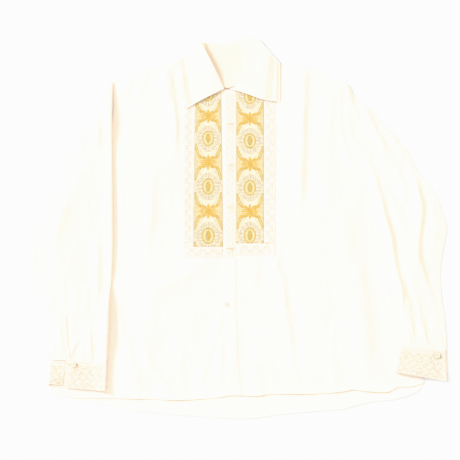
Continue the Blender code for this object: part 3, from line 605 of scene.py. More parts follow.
def front_top(x: Array, y: Array) -> Array:
    """Height of the upper face of the two fronts.

    Args:
        x: Places across.
        y: Places along the shirt.

    Returns:
        The height at each place.
    """
    x, y = np.asarray(x, dtype=float), np.asarray(y, dtype=float)
    depth = inside_distance(x, y, OPEN_OUTLINE)
    centre = 1 - hump(x - PLACKET_LINE.x_at(y) - PLACKET_CENTRE, PUFF_SPREAD)
    puff = PUFF * smooth_step(depth, 0.0, PUFF_REACH) * (PUFF_LEAST + (1 - PUFF_LEAST) * centre)
    away = smooth_step(applied_distance(x, y), 0.0, BIB_MARGIN)
    still = BIB_STILLNESS + (1 - BIB_STILLNESS) * away
    loose = FRONT_CALM * crease_height(x, y, FRONT_CREASES) + SMOOTHED.at(x, y) + RUMPLED.at(x, y)
    loose = loose + STREAKED.at(x, y)
    near_hem = 1 - smooth_step(y, FRONT_HEM.y_at(x) + HEM_REACH, FRONT_HEM.y_at(x) + 2 * HEM_REACH)
    free = np.maximum(smooth_step(depth, 0.0, FOLD_MARGIN),
                      near_hem * smooth_step(x, -256, -240) * (1 - smooth_step(x, 282, 296)))
    hem = hem_height(x, y - FRONT_HEM.y_at(x), HEM_LIFTS)
    return FRONT_BASE + puff + loose * free * still + hem + armhole_height(x, y, depth)


def rest_height(x: Array, y: Array) -> Array:
    """Height at which a sleeve or cuff rests: over the body, or down on the surface beside it.

    Args:
        x: Places across.
        y: Places along the shirt.

    Returns:
        The height at each place.
    """
    outside = -inside_distance(x, y, BODY_OUTLINE)
    cap = smooth_step(x, 150.0, 200.0) * smooth_step(y, 120.0, 180.0)
    hold, fall = HOLD + (CAP_HOLD - HOLD) * cap, FALL + (CAP_FALL - FALL) * cap
    share = np.clip((outside - hold) / fall, 0.0, 1.0)
    return ON_FRONT * (1 - share * share * (3 - 2 * share))


def lift(places: Array, heights: Array) -> Array:
    """Join places and their heights into points."""
    return np.concatenate([places, heights[..., None]], axis=-1)


def join(*parts: Array) -> Array:
    """Join coordinates into places or points."""
    return np.stack(parts, axis=-1)


def on_front(places: Array) -> Array:
    """Points of the upper face of a strip of cloth sewn over the fronts at these places."""
    return lift(places, front_top(places[..., 0], places[..., 1]) + GAP + CLOTH)


def patch(top: Curve, foot: Curve, left: Curve, right: Curve, down: Array, columns: int) -> Array:
    """Lay a grid inside four lines.

    Args:
        top: The upper line, from left to right.
        foot: The lower line, from left to right.
        left: The left line, downwards.
        right: The right line, downwards.
        down: Shares of the sides at which the rows lie.
        columns: Number of columns.

    Returns:
        The places, by row and column.
    """
    across = np.linspace(0, 1, columns)
    u, v = (grid[..., None] for grid in np.meshgrid(across, down))
    head, base = top.at(across)[None], foot.at(across)[None]
    near, far = left.at(down)[:, None], right.at(down)[:, None]
    corners = (1 - u) * (1 - v) * head[:, :1] + u * (1 - v) * head[:, -1:]
    corners = corners + (1 - u) * v * base[:, :1] + u * v * base[:, -1:]
    return (1 - v) * head + v * base + (1 - u) * near + u * far - corners


def grid_normals(points: Array, first_seen: int = 0) -> Array:
    """Upward unit normals of a grid of points.

    Args:
        points: The grid's points.
        first_seen: The first column that faces up.

    Returns:
        The normals.
    """
    along, across = np.gradient(points, axis=0), np.gradient(points, axis=1)
    normals = np.cross(across, along)
    normals /= np.maximum(np.linalg.norm(normals, axis=-1, keepdims=True), NO_LENGTH)
    return normals * (1.0 if normals[:, first_seen:, 2].mean() > 0 else -1.0)


class Tailor:
    """Makes the meshes of the cloth."""

    @staticmethod
    def piece(name: str, points: Array, faces: Array, materials: Sequence[Material],
              slots: Array | None = None, crisp: float = 50.0) -> Item:
        """Make a closed mesh with its faces pointing out.

        Args:
            name: The piece's name.
            points: Vertices, in millimetres.
            faces: Corners of the faces, three or four each.
            materials: The piece's finishes.
            slots: The finish of each face, where there are several.
            crisp: Angle over which an edge stays sharp, in degrees.

        Returns:
            The new object.
        """
        a, b, c = (points[faces[:, i]] for i in (0, 1, 2))
        volume = np.einsum("ij,ij->i", a, np.cross(b, c)).sum()
        if faces.shape[1] == 4:
            d = points[faces[:, 3]]
            volume += np.einsum("ij,ij->i", a, np.cross(c, d)).sum()
        if volume < 0:
            faces = faces[:, ::-1]
        mesh = bpy.data.meshes.new(name)
        mesh.from_pydata((points * MM).tolist(), [], faces.tolist())
        for material in materials:
            mesh.materials.append(material)
        if slots is not None:
            mesh.polygons.foreach_set("material_index", slots.astype(np.int32))
        mesh.shade_smooth()
        mesh.set_sharp_from_angle(angle=math.radians(crisp))
        item = bpy.data.objects.new(name, mesh)
        bpy.context.scene.collection.objects.link(item)
        return item

    @classmethod
    def sheet(cls, name: str, upper: Array, material: Material,
              lower: Array | None = None, thickness: float = CLOTH) -> Item:
        """Make a piece of cloth from its upper face.

        Args:
            name: The piece's name.
            upper: Grid of points of the upper face.
            material: The finish.
            lower: Grid of points of the lower face, or nothing for one set down by the thickness.
            thickness: The cloth's thickness.

        Returns:
            The new object.
        """
        lower = upper - thickness * grid_normals(upper) if lower is None else lower
        rows, columns = upper.shape[:2]
        index = np.arange(rows * columns).reshape(rows, columns)
        under = index + rows * columns
        quads = join(index[:-1, :-1], index[:-1, 1:], index[1:, 1:], index[1:, :-1])
        quads = quads.reshape(-1, 4)
        rim = np.concatenate([index[0], index[1:, -1], index[-1, -2::-1], index[-2:0:-1, 0]])
        ahead = np.roll(rim, -1)
        ring = join(ahead, rim, rim + under[0, 0], ahead + under[0, 0])
        faces = np.concatenate([quads, quads[:, ::-1] + under[0, 0], ring])
        points = np.vstack([upper.reshape(-1, 3), lower.reshape(-1, 3)])
        return cls.piece(name, points, faces, [material])

    @classmethod
    def tube(cls, name: str, outer: Array, inner: Array, material: Material) -> Item:
        """Make a tube of cloth between two matching stacks of rings, open at both ends.

        Args:
            name: The piece's name.
            outer: Rings of the outer face.
            inner: Rings of the inner face.
            material: The finish.

        Returns:
            The new object.
        """
        rows, around = outer.shape[:2]
        index = np.arange(rows * around).reshape(rows, around)
        beside = np.roll(index, -1, axis=1)
        under = rows * around
        quads = join(index[:-1], beside[:-1], beside[1:], index[1:]).reshape(-1, 4)
        head = join(beside[0], index[0], index[0] + under, beside[0] + under)
        foot = join(index[-1], beside[-1], beside[-1] + under, index[-1] + under)
        faces = np.concatenate([quads, quads[:, ::-1] + under, head, foot])
        points = np.vstack([outer.reshape(-1, 3), inner.reshape(-1, 3)])
        return cls.piece(name, points, faces, [material])


class Needle:
    """Gathers stitches, each a slim grain of thread, and makes them into one mesh."""

    GRAIN = np.array([(-0.5, 0, 0), (0.5, 0, 0),
                      (-0.16, -0.5, -0.1), (-0.16, 0, 1), (-0.16, 0.5, -0.1),
                      (0.16, -0.5, -0.1), (0.16, 0, 1), (0.16, 0.5, -0.1)])
    FACES = np.array([(2, 3, 6), (2, 6, 5), (3, 4, 7), (3, 7, 6), (4, 2, 5), (4, 5, 7),
                      (0, 3, 2), (0, 4, 3), (0, 2, 4), (1, 5, 6), (1, 6, 7), (1, 7, 5)])

    def __init__(self) -> None:
        """Start with no stitches."""
        self.points: list[Array] = []
        self.threads: list[Array] = []

    def sew(self, centres: Array, along: Array, length: Array | float, width: float,
            height: float, thread: Array | int) -> None:
        """Add stitches.

        Args:
            centres: Their middles on the cloth.
            along: The direction of each, of any length.
            length: Their lengths.
            width: Their width.
            height: How far they stand up.
            thread: The thread of each, or of all.
        """
        if not len(centres):
            return
        along = along / np.maximum(np.linalg.norm(along, axis=1, keepdims=True), NO_LENGTH)
        beside = np.cross(np.array([0.0, 0.0, 1.0]), along)
        beside /= np.maximum(np.linalg.norm(beside, axis=1, keepdims=True), NO_LENGTH)
        up = np.cross(along, beside)
        length = np.broadcast_to(length, len(centres))
        grain = (self.GRAIN[None, :, 0, None] * (along * length[:, None])[:, None]
                 + self.GRAIN[None, :, 1, None] * width * beside[:, None]
                 + self.GRAIN[None, :, 2, None] * height * up[:, None])
        self.points.append(centres[:, None] + grain)
        self.threads.append(np.broadcast_to(thread, len(centres)))

    @staticmethod
    def stations(line: Array, pitch: float, away: float) -> list[Array]:
        """Find where the stitches of a path lie.

        Args:
            line: The path's points.
            pitch: Spacing of the stitches.
            away: How far ahead and behind to look.

        Returns:
            The middles, and the points ahead of them and behind them.
        """
        steps = np.linalg.norm(np.diff(line, axis=0), axis=1)
        total = np.concatenate([[0.0], np.cumsum(steps)])
        middles = np.arange(pitch / 2, total[-1], pitch)
        return [np.stack([np.interp(middles + shift, total, line[:, i]) for i in range(3)], axis=-1)
                for shift in (0.0, away, -away)]

    def run(self, line: Array, stitch: RunStitch, thread: int) -> None:
        """Sew stitches in line along a path of points.

        Args:
            line: The path's points.
            stitch: The stitches' sizes.
            thread: The thread to sew with.
        """
        middle, ahead, behind = self.stations(line, stitch.pitch, 0.4 * stitch.length)
        along = ahead - behind + NO_LENGTH
        self.sew(middle, along, stitch.length, stitch.width, stitch.height, thread)

    def satin(self, line: Array, stitch: SatinStitch, thread: int) -> None:
        """Cover a path of points with stitches laid across it, close together.

        Args:
            line: The path's points.
            stitch: The stitches' sizes.
            thread: The thread to sew with.
        """
        middle, ahead, behind = self.stations(line, stitch.pitch, 0.3)
        along = (ahead - middle) + (middle - behind)
        across = join(-along[:, 1], along[:, 0], np.zeros(len(along)))
        width = 1.25 * stitch.pitch
        self.sew(middle, across + NO_LENGTH, stitch.reach, width, stitch.height, thread)

    def make(self, name: str, materials: Sequence[Material]) -> Item:
        """Make all the stitches into one mesh.

        Args:
            name: The piece's name.
            materials: The threads, in the order of their numbers.

        Returns:
            The new object.
        """
        points = np.concatenate(self.points)
        thread = np.concatenate(self.threads)
        start = np.arange(len(points))[:, None, None] * len(self.GRAIN)
        faces = (self.FACES[None] + start).reshape(-1, 3)
        slots = np.repeat(thread, len(self.FACES))
        return Tailor.piece(name, points.reshape(-1, 3), faces, materials, slots, crisp=75.0)


def wear(item: Item, slot: str, *nodes: str) -> Item:
    """Fasten a piece to the shirt, hide the solids that it stands for and log its size.

    Args:
        item: The piece.
        slot: Not used.
        *nodes: The solids that it stands for.

    Returns:
        The piece.
    """
    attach(item, "root")
    if nodes:
        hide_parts(*nodes)
    area = 0.5 * sum(face.area for face in item.data.polygons)
    LOG.info("%s: %d faces, %.5f square metres", item.name, len(item.data.polygons), area)
    return item


class Recipe:
    """Shorthand for wiring the nodes of a finish."""

    def __init__(self, name: str) -> None:
        """Start a material with its shader and its coordinates.

        Args:
            name: The material's name.
        """
        self.material = bpy.data.materials.new(name)
        self.material.use_nodes = True
        self.nodes, self.links = self.material.node_tree.nodes, self.material.node_tree.links
        self.shader = self.nodes["Principled BSDF"]
        self.place = self.nodes.new("ShaderNodeTexCoord").outputs["Object"]

    def set(self, **values: float | tuple[float, ...]) -> None:
        """Set the shader's own sockets, named with _ for a space."""
        for key, value in values.items():
            self.shader.inputs[key.replace("_", " ")].default_value = value

    def node(self, kind: str, wires: dict[str | int, Socket],
             values: dict[str | int, float | tuple[float, ...]]) -> bpy.types.Node:
        """Add a node.

        Args:
            kind: The kind of node.
            wires: What is wired to its inputs.
            values: What its other inputs are set to.

        Returns:
            The new node.
        """
        node = self.nodes.new("ShaderNode" + kind)
        for key, wire in wires.items():
            self.links.new(wire, node.inputs[key])
        for key, value in values.items():
            node.inputs[key].default_value = value
        return node

    def noise(self, scale: float, detail: float = 3.0, stretch: Colour = (1.0, 1.0, 1.0)) -> Socket:
        """A soft random pattern, with so many features to the metre.

        Args:
            scale: Features to the metre.
            detail: How finely they break up.
            stretch: Their closeness along each axis.

        Returns:
            The pattern.
        """
        mapping = self.node("Mapping", {"Vector": self.place}, {"Scale": stretch})
        texture = self.node("TexNoise", {"Vector": mapping.outputs["Vector"]},
                            {"Scale": scale, "Detail": detail})
        return texture.outputs["Fac"]

    def bands(self, direction: str, pitch: float, wander: float = 0.4) -> Socket:
        """Even bands, as threads of a weave, a pitch apart in millimetres.

        Args:
            direction: The axis across the bands.
            pitch: Their spacing, in millimetres.
            wander: How unevenly they run.

        Returns:
            The pattern.
        """
        texture = self.node("TexWave", {"Vector": self.place},
                            {"Scale": 2 * math.pi / (20 * pitch * MM), "Distortion": wander})
        texture.bands_direction = direction
        return texture.outputs["Fac"]

    def combine(self, operation: str, a: Socket, b: Socket | float) -> Socket:
        """Work out one value from two.

        Args:
            operation: The sum to work out.
            a: The first value.
            b: The second value.

        Returns:
            The result.
        """
        wired = isinstance(b, Socket)
        node = self.node("Math", {0: a, 1: b} if wired else {0: a}, {} if wired else {1: b})
        node.operation = operation
        return node.outputs["Value"]

    def spread(self, value: Socket, low: float, high: float) -> Socket:
        """Widen the part of a pattern between two levels to the range from 0 to 1.

        Args:
            value: The pattern.
            low: The level that becomes 0.
            high: The level that becomes 1.

        Returns:
            The widened pattern.
        """
        node = self.node("MapRange", {"Value": value}, {"From Min": low, "From Max": high})
        return node.outputs["Result"]

    def tint(self, share: Socket, first: Colour, second: Colour) -> Socket:
        """Mix two colours by a share.

        Args:
            share: How much of the second colour to mix in.
            first: The first colour.
            second: The second colour.

        Returns:
            The mixed colour.
        """
        node = self.node("Mix", {0: share}, {6: (*first, 1.0), 7: (*second, 1.0)})
        node.data_type = "RGBA"
        return node.outputs[2]

    def colour(self, socket: Socket) -> None:
        """Use this colour for the surface."""
        self.links.new(socket, self.shader.inputs["Base Color"])

    def bump(self, height: Socket, depth: float, strength: float) -> None:
        """Add relief of a depth in millimetres over the relief that is there.

        Args:
            height: The relief's pattern.
            depth: Its depth, in millimetres.
            strength: How strongly it shows.
        """
        node = self.node("Bump", {"Height": height}, {"Distance": depth * MM, "Strength": strength})
        normal = self.shader.inputs["Normal"]
        if normal.is_linked:
            self.links.new(normal.links[0].from_socket, node.inputs["Normal"])
        self.links.new(node.outputs["Normal"], normal)


@dataclass(frozen=True)
class Finish:
    """What all finishes have: a name and two tones between which they vary."""

    name: str
    colour: Colour
    shade: Colour

    def material(self) -> Material:
        """Make the material.

        Returns:
            The new material.
        """
        recipe = Recipe(self.name)
        self.mix(recipe)
        return recipe.material

    def mix(self, recipe: Recipe) -> None:
        """Wire the nodes of this kind of finish."""

    def vary(self, recipe: Recipe, pattern: Socket) -> None:
        """Let the surface vary between the two tones by a pattern."""
        recipe.colour(recipe.tint(pattern, self.colour, self.shade))


@dataclass(frozen=True)
class ClothFinish(Finish):
    """Woven cotton: threads both ways, slubs, a faint crinkle and light passing through."""

    pitch: float = 0.7
    crinkle: float = 0.9
    roughness: float = 0.9
    sheen: float = 0.15
    glow: float = 0.2

    def mix(self, recipe: Recipe) -> None:
        """Wire the tones, the crinkle and the weave.

        Args:
            recipe: The material's nodes.
        """
        warp, weft = recipe.bands("X", self.pitch), recipe.bands("Y", self.pitch)
        threads = recipe.combine("MULTIPLY", warp, weft)
        slubs = recipe.combine("MULTIPLY", recipe.noise(60, 2.0, (14.0, 0.7, 1.0)),
                               recipe.noise(60, 2.0, (0.7, 14.0, 1.0)))
        tone = recipe.combine("ADD", recipe.noise(7.0, 4.0), recipe.combine("MULTIPLY", slubs, 0.9))
        self.vary(recipe, recipe.spread(tone, 0.45, 1.0))
        recipe.bump(recipe.noise(75.0, 5.0, (1.0, 0.55, 1.0)), self.crinkle, 0.5)
        recipe.bump(threads, 0.12, 0.45)
        recipe.set(Roughness=self.roughness, Sheen_Weight=self.sheen, Sheen_Roughness=0.5,
                   Subsurface_Weight=self.glow, Subsurface_Radius=(1.0, 0.62, 0.38),
                   Subsurface_Scale=0.002)


@dataclass(frozen=True)
class ThreadFinish(Finish):
    """Embroidery thread: a soft gloss, uneven dye and the twist of its strands."""

    roughness: float = 0.55

    def mix(self, recipe: Recipe) -> None:
        """Wire the dye and the twist.

        Args:
            recipe: The material's nodes.
        """
        tone = recipe.noise(260.0, 3.0)
        self.vary(recipe, recipe.spread(tone, 0.3, 0.7))
        recipe.bump(recipe.bands("DIAGONAL", 0.35, 1.2), 0.05, 0.5)
        recipe.set(Roughness=self.roughness, Sheen_Weight=0.2, Sheen_Roughness=0.4)


@dataclass(frozen=True)
class ShellFinish(Finish):
    """Polished shell, clouded in layers."""

    def mix(self, recipe: Recipe) -> None:
        """Wire the clouds and the polish.

        Args:
            recipe: The material's nodes.
        """
        cloud = recipe.noise(320.0, 4.0, (1.0, 2.2, 1.0))
        self.vary(recipe, recipe.spread(cloud, 0.35, 0.65))
        recipe.bump(recipe.noise(900.0, 2.0), 0.03, 0.3)
        recipe.set(Roughness=0.24, Coat_Weight=0.4, Coat_Roughness=0.1, Subsurface_Weight=0.15,
                   Subsurface_Scale=0.001)


@dataclass(frozen=True)
class FloorFinish(Finish):
    """Matt pale paper."""

    def mix(self, recipe: Recipe) -> None:
        """Wire the tone and the grain.

        Args:
            recipe: The material's nodes.
        """
        self.vary(recipe, recipe.noise(3.0, 3.0))
        recipe.bump(recipe.noise(700.0, 3.0), 0.03, 0.2)
        recipe.set(Roughness=0.95)


def made(finish: Finish) -> Material:
    """Have a finish's material made when the wardrobe is opened."""
    return field(default_factory=finish.material)


@dataclass
class Wardrobe:
    """All the finishes of the shirt, each made once."""

    ivory: Material = made(ClothFinish("ivory_cotton", (0.88, 0.78, 0.70), (0.86, 0.745, 0.645)))
    sleeve: Material = made(ClothFinish(
        "ivory_cotton_of_the_sleeves", (0.88, 0.775, 0.685), (0.86, 0.74, 0.625), crinkle=1.2))
    collar: Material = made(ClothFinish(
        "ivory_collar_cloth", (0.87, 0.765, 0.67), (0.84, 0.725, 0.62), crinkle=0.5))
    # Inside the collar: a darker, warmer copy of the ivory cloth, painted shade for the hollow of
    # the neck.
    neck: Material = made(ClothFinish(
        "ivory_cloth_inside_the_collar_with_painted_shade", (0.86, 0.72, 0.61), (0.83, 0.67, 0.54), crinkle=0.6))
    dense: Material = made(ClothFinish(
        "embroidery_ground", (0.82, 0.715, 0.65), (0.78, 0.665, 0.59), pitch=0.55, crinkle=0.3))
    straw: Material = made(ClothFinish(
        "straw_ground_of_the_bands", (0.68, 0.56, 0.37), (0.62, 0.50, 0.31),
        pitch=0.55, crinkle=0.2))
    gold: Material = made(ThreadFinish(
        "gold_thread", (0.71, 0.41, 0.048), (0.62, 0.345, 0.04), 0.42))
    olive: Material = made(ThreadFinish(
        "olive_gold_thread", (0.50, 0.39, 0.115), (0.39, 0.30, 0.09), 0.45))
    flax: Material = made(ThreadFinish(
        "straw_thread", (0.775, 0.64, 0.385), (0.72, 0.585, 0.33), 0.5))
    amber: Material = made(ThreadFinish(
        "amber_thread", (0.74, 0.53, 0.19), (0.67, 0.46, 0.15), 0.45))
    linen: Material = made(ThreadFinish(
        "linen_thread", (0.74, 0.63, 0.49), (0.67, 0.56, 0.42), 0.6))
    cream: Material = made(ThreadFinish(
        "cream_thread", (0.85, 0.755, 0.65), (0.81, 0.70, 0.59), 0.6))
    beige: Material = made(ThreadFinish(
        "beige_thread", (0.55, 0.485, 0.36), (0.45, 0.395, 0.28), 0.6))
    sewing: Material = made(ThreadFinish(
        "sewing_thread", (0.84, 0.76, 0.66), (0.79, 0.71, 0.60), 0.7))
    shell: Material = made(ShellFinish(
        "pale_shell_of_the_front_buttons", (0.71, 0.67, 0.615), (0.60, 0.565, 0.52)))
    cuff_shell: Material = made(ShellFinish(
        "warm_shell_of_the_cuff_buttons", (0.76, 0.68, 0.56), (0.66, 0.58, 0.47)))

    def threads(self) -> list[Material]:
        """The embroidery threads, in the order of Thread."""
        return [self.gold, self.olive, self.flax, self.cream, self.beige, self.amber, self.linen]


@dataclass
class Body:
    """The back and the two fronts."""

    wardrobe: Wardrobe
    hem_curl: float = 1.6
    meeting_gap: float = 0.4
    columns: int = 108
    rows: int = 205

    def back(self) -> None:
        """Make the back: flat on the surface, with a turned hem that shows below the fronts."""
        down = np.concatenate([np.linspace(0.0, 0.86, 40, endpoint=False),
                               np.linspace(0.86, 1.0, 44)])
        places = patch(SHOULDERS, BACK_HEM, BODY_LEFT, BODY_RIGHT, down, 130)
        x, y = places[..., 0], places[..., 1]
        above = np.minimum(y - BACK_HEM.y_at(x), 60.0)
        below_front = smooth_step(FRONT_HEM.y_at(x) - y, 2.0, 12.0)
        wave = (0.5 + Ripple(seed=5, wavelength=40.0, height=0.35).at(x, 0.3 * y)) * below_front
        turned = 0.45 * (1 - smooth_step(above, HEM_WIDTH - 1.0, HEM_WIDTH + 0.5))
        curl = self.hem_curl * (1 - smooth_step(above, 0.0, 9.0)) * below_front
        upper = lift(places, CLOTH + np.maximum(wave, 0.0) + turned + curl)
        item = Tailor.sheet("shirt_back", upper, self.wardrobe.ivory, lower=lift(places, 0 * x))
        wear(item, "ivory_cloth", "back")

    def front(self, name: str, node: str, lines: tuple[Curve, ...], other: str) -> None:
        """Make one front.

        Args:
            name: The piece's name.
            node: The solid that it stands for.
            lines: Its top, foot, left and right lines.
            other: Not used.
        """
        places = patch(*lines, np.linspace(0, 1, self.rows), self.columns)
        x, y = places[..., 0], places[..., 1]
        side = np.minimum(np.abs(x - BODY_LEFT.x_at(y)), np.abs(x - BODY_RIGHT.x_at(y)))
        heights = front_top(x, y) - SIDE_DROP * (1 - smooth_step(side, 0.0, 3.0))
        item = Tailor.sheet(name, lift(places, heights), self.wardrobe.ivory)
        wear(item, "ivory_cloth", node)

    def fronts(self) -> None:
        """Make both fronts, which meet under the placket."""
        meeting = Curve([Knot(k.x + PLACKET_CENTRE, k.y) for k in PLACKET_EDGE])
        shifted = Curve([Knot(k.x + PLACKET_CENTRE + self.meeting_gap, k.y) for k in PLACKET_EDGE])
        left = (Curve(SHOULDER_LEFT + NECK_LEFT), Curve(HEM_LEFT), BODY_LEFT, meeting)
        right = (Curve(NECK_RIGHT + SHOULDER_RIGHT), Curve(HEM_RIGHT), shifted, BODY_RIGHT)
        self.front("shirt_front_left", "front_left", left, "shirt_back")
        self.front("shirt_front_right", "front_right", right, "shirt_back")

    def hem_sewing(self) -> None:
        """Sew both hems."""
        needle = Needle()
        for line, height in ((Curve(HEM_LEFT), None), (Curve(HEM_RIGHT), None), (BACK_HEM, 1.2)):
            places = line.at(np.linspace(0.004, 0.996, 700))
            places[:, 1] += HEM_WIDTH - HEM_ROW
            x, y = places[:, 0], places[:, 1]
            tops = front_top(x, y) if height is None else np.full(len(places), height)
            seen = slice(None) if height is None else (y < FRONT_HEM.y_at(x) - 3)
            needle.run(lift(places, tops + 0.05)[seen], HEM_STITCH, 0)
        wear(needle.make("hem_stitches", [self.wardrobe.sewing]), "ivory_cloth")

    def build(self) -> None:
        """Make the body."""
        self.back()
        self.fronts()
        self.hem_sewing()


def strip_places(strip: Strip, head: Line, rows: int, columns: int) -> Array:
    """Lay a grid on a straight strip whose head follows a line.

    Args:
        strip: The strip's corners.
        head: Its upper end, by the place across.
        rows: Number of rows.
        columns: Number of columns.

    Returns:
        The places, by row and column.
    """
    across, down = np.linspace(0, 1, columns)[None], np.linspace(0, 1, rows)[:, None]
    head_x = strip.left_top + (strip.right_top - strip.left_top) * across
    foot_x = strip.left_foot + (strip.right_foot - strip.left_foot) * across
    head_y = head(head_x)
    x = head_x + (foot_x - head_x) * down
    y = head_y + (strip.foot - head_y) * down
    return join(x, y)


def rounded(points: Array, drop: float, reach: int = 2) -> Array:
    """Let the rim of a grid fall slightly, as an edge that is sewn down.

    Args:
        points: The grid's points.
        drop: How far the rim falls.
        reach: Rows over which it falls.

    Returns:
        The new points.
    """
    rows, columns = points.shape[:2]
    from_rim = np.minimum.outer(np.minimum(np.arange(rows), np.arange(rows)[::-1]),
                                np.minimum(np.arange(columns), np.arange(columns)[::-1]))
    points = points.copy()
    points[..., 2] -= drop * (1 - smooth_step(from_rim.astype(float), 0.0, float(reach)))
    return points


@dataclass
class GoldBand:
    """One gold band of the bib: a straw ground covered with a repeat of ovals and stars.

    The repeat is worked out by formula: a ringed oval in a rippled halo, and an eight-rayed star
    whose long arms curve round the halos above and below it.
    """

    name: str
    node: str
    strip: Strip
    head: Line
    hidden_above: Line
    ovals: tuple[float, ...]
    front: str
    wardrobe: Wardrobe
    half_width: float = 26.5
    row_pitch: float = 0.98
    stitch: float = 2.1

    def phase(self, y: Array) -> Array:
        """Place in the repeat: whole numbers at the ovals.

        Args:
            y: Places along the shirt.

        Returns:
            The number of each place.
        """
        order = np.arange(len(self.ovals), dtype=float)
        first, last = self.ovals[0], self.ovals[-1]
        y_all = np.array([first + MOTIF_REPEAT, *self.ovals, last - MOTIF_REPEAT])
        numbers = np.array([-1.0, *order, order[-1] + 1])
        return np.interp(-y, -y_all, numbers)

    @staticmethod
    def ray(u: Array, v: Array, turn: float, start: float, length: float, width: float) -> Array:
        """How far inside a leaf-shaped ray each place lies: over 0 inside, 1 on its midline.

        Args:
            u: Places across from the middle.
            v: Places along from the middle.
            turn: The way that the ray points.
            start: Where it starts.
            length: Its length.
            width: Half its width.

        Returns:
            The level of each place.
        """
        along = u * math.cos(turn) + v * math.sin(turn)
        across = -u * math.sin(turn) + v * math.cos(turn)
        share = np.clip((along - start) / length, 0.0, 1.0)
        half = width * np.sin(math.pi * share) ** 0.7 + 1e-6
        return np.where((share > 0) & (share < 1), 1 - np.abs(across) / half, -1.0)

    def chart(self, u: Array, y: Array) -> tuple[Array, Array]:
        """Choose the thread and the lie of each stitch.

        Args:
            u: Places across from the middle of the band, scaled to its half width.
            y: Places along the shirt.

        Returns:
            The thread of each stitch and the angle at which it lies.
        """
        phase = self.phase(y)
        v = (phase - np.round(phase)) * MOTIF_REPEAT
        s = (phase - 0.5 - np.round(phase - 0.5)) * MOTIF_REPEAT
        reach = np.abs(s)
        arm, half = swell_at(reach, ARM_LINE), swell_at(reach, ARM_HALF)
        past_arm = np.abs(u) - arm
        heart = np.hypot(u / 14.0, s / 9.0)

        thread = np.where(np.sin(1.1 * s + 0.9 * np.abs(u)) > -0.35, Thread.STRAW, Thread.AMBER)
        angle = np.zeros(np.shape(u))
        side_lines = (np.abs(u) > 19.0) & (np.sin(1.7 * s) > 0.6) & (reach < 15)
        thread = np.where(side_lines, Thread.BEIGE, thread)
        thread = np.where(heart < 1.0, Thread.AMBER, thread)
        hollow = (past_arm < -half) & (reach > 10)
        level = np.abs(v) < 12.5
        halo = np.where(np.sin(2.2 * u) * np.sin(1.4 * v) > -0.25, Thread.CREAM, Thread.STRAW)
        thread = np.where(hollow | level, halo, thread)
        for away, colour in ((2.0, Thread.STRAW), (4.4, Thread.BEIGE), (7.2, Thread.STRAW)):
            line = (np.abs(past_arm + half + away) < 0.75) & (reach > 12)
            thread = np.where(line & (np.sin(1.9 * s + away) > -0.7), colour, thread)
        armed = (np.abs(past_arm) < half) & (reach > 7) & (reach < 35)
        thread = np.where(armed, np.where(reach < 13, Thread.GOLD, Thread.AMBER), thread)
        outline = (np.abs(np.abs(past_arm) - half) < 0.95) & (reach > 10) & (reach < 36)
        thread = np.where(outline, Thread.OLIVE, thread)
        angle = np.where(armed | outline, np.sign(u * s) * 0.9, angle)

        thread = self.star(u, s, thread)
        angle = np.where(np.hypot(u, s) < 12, np.arctan2(s, u), angle)
        thread, angle = self.oval(u, v, thread, angle)
        edge = (np.abs(np.abs(u) - 25.4) < 0.75) & ~level
        thread = np.where(edge, Thread.BEIGE, thread)
        hook = np.hypot(np.abs(u) - 23.0, v + 1.0)
        thread = np.where((np.abs(hook - 4.6) < 0.7) & (np.abs(u) < 24), Thread.BEIGE, thread)
        ticks = level & (np.abs(u) > 19.5) & (np.sin(2.4 * v) > 0.35)
        return np.where(ticks, Thread.BEIGE, thread), angle

    def star(self, u: Array, s: Array, thread: Array) -> Array:
        """Lay the star over the threads chosen so far: its rays, and a gold heart over them.

        Args:
            u: Places across from the middle.
            s: Places along from the star's middle.
            thread: The threads so far.

        Returns:
            The threads with the star.
        """
        for ray in STAR:
            turn = math.radians(ray.turn)
            leaf = self.ray(u, s - ray.level, turn, STAR_HEART, ray.length, ray.width)
            thread = np.where((leaf <= 0) & (leaf > -ray.rim), ray.outline, thread)
            thread = np.where(leaf > 0, Thread.GOLD, thread)
        return np.where(np.abs(u) / 7.5 + np.abs(s) / 7.5 < 1, Thread.GOLD, thread)

    @staticmethod
    def oval(u: Array, v: Array, thread: Array, angle: Array) -> tuple[Array, Array]:
        """Lay the ringed oval over the threads chosen so far, its stitches across the rings.

        Args:
            u: Places across from the middle.
            v: Places along from the oval's middle.
            thread: The threads so far.
            angle: Their angles so far.

        Returns:
            The threads and the angles with the oval.
        """
        rings = np.hypot(u / RING_HALF.x, v / RING_HALF.y)
        heart = np.hypot(u / HEART_HALF.x, v / HEART_HALF.y)
        around = np.arctan2(v / RING_HALF.y, u / RING_HALF.x)
        halo = np.where(np.cos(13 * around) > 0.2, Thread.STRAW, Thread.CREAM)
        thread = np.where(rings < HALO_EDGE, halo, thread)
        for ring, count in ((1.24, 17), (1.44, 21), (1.64, 25)):
            dotted = (np.abs(rings - ring) < 0.08) & (np.cos(count * around) > -0.75)
            thread = np.where(dotted, Thread.BEIGE, thread)
        thread = np.where((rings > 0.86) & (rings < 1.06), Thread.OLIVE, thread)
        thread = np.where((rings > 0.70) & (rings <= 0.86), Thread.AMBER, thread)
        thread = np.where((rings <= 0.70), Thread.STRAW, thread)
        thread = np.where(heart < 1.22, Thread.OLIVE, thread)
        thread = np.where(heart < 0.55, Thread.GOLD, thread)
        return thread, np.where(rings < HALO_EDGE, around, angle)

    def build(self) -> None:
        """Make the band and its stitches."""
        places = strip_places(self.strip, self.head, 150, 28)
        item = Tailor.sheet(self.name, rounded(on_front(places), 0.2), self.wardrobe.straw)
        wear(item, "gold_embroidery", self.node)

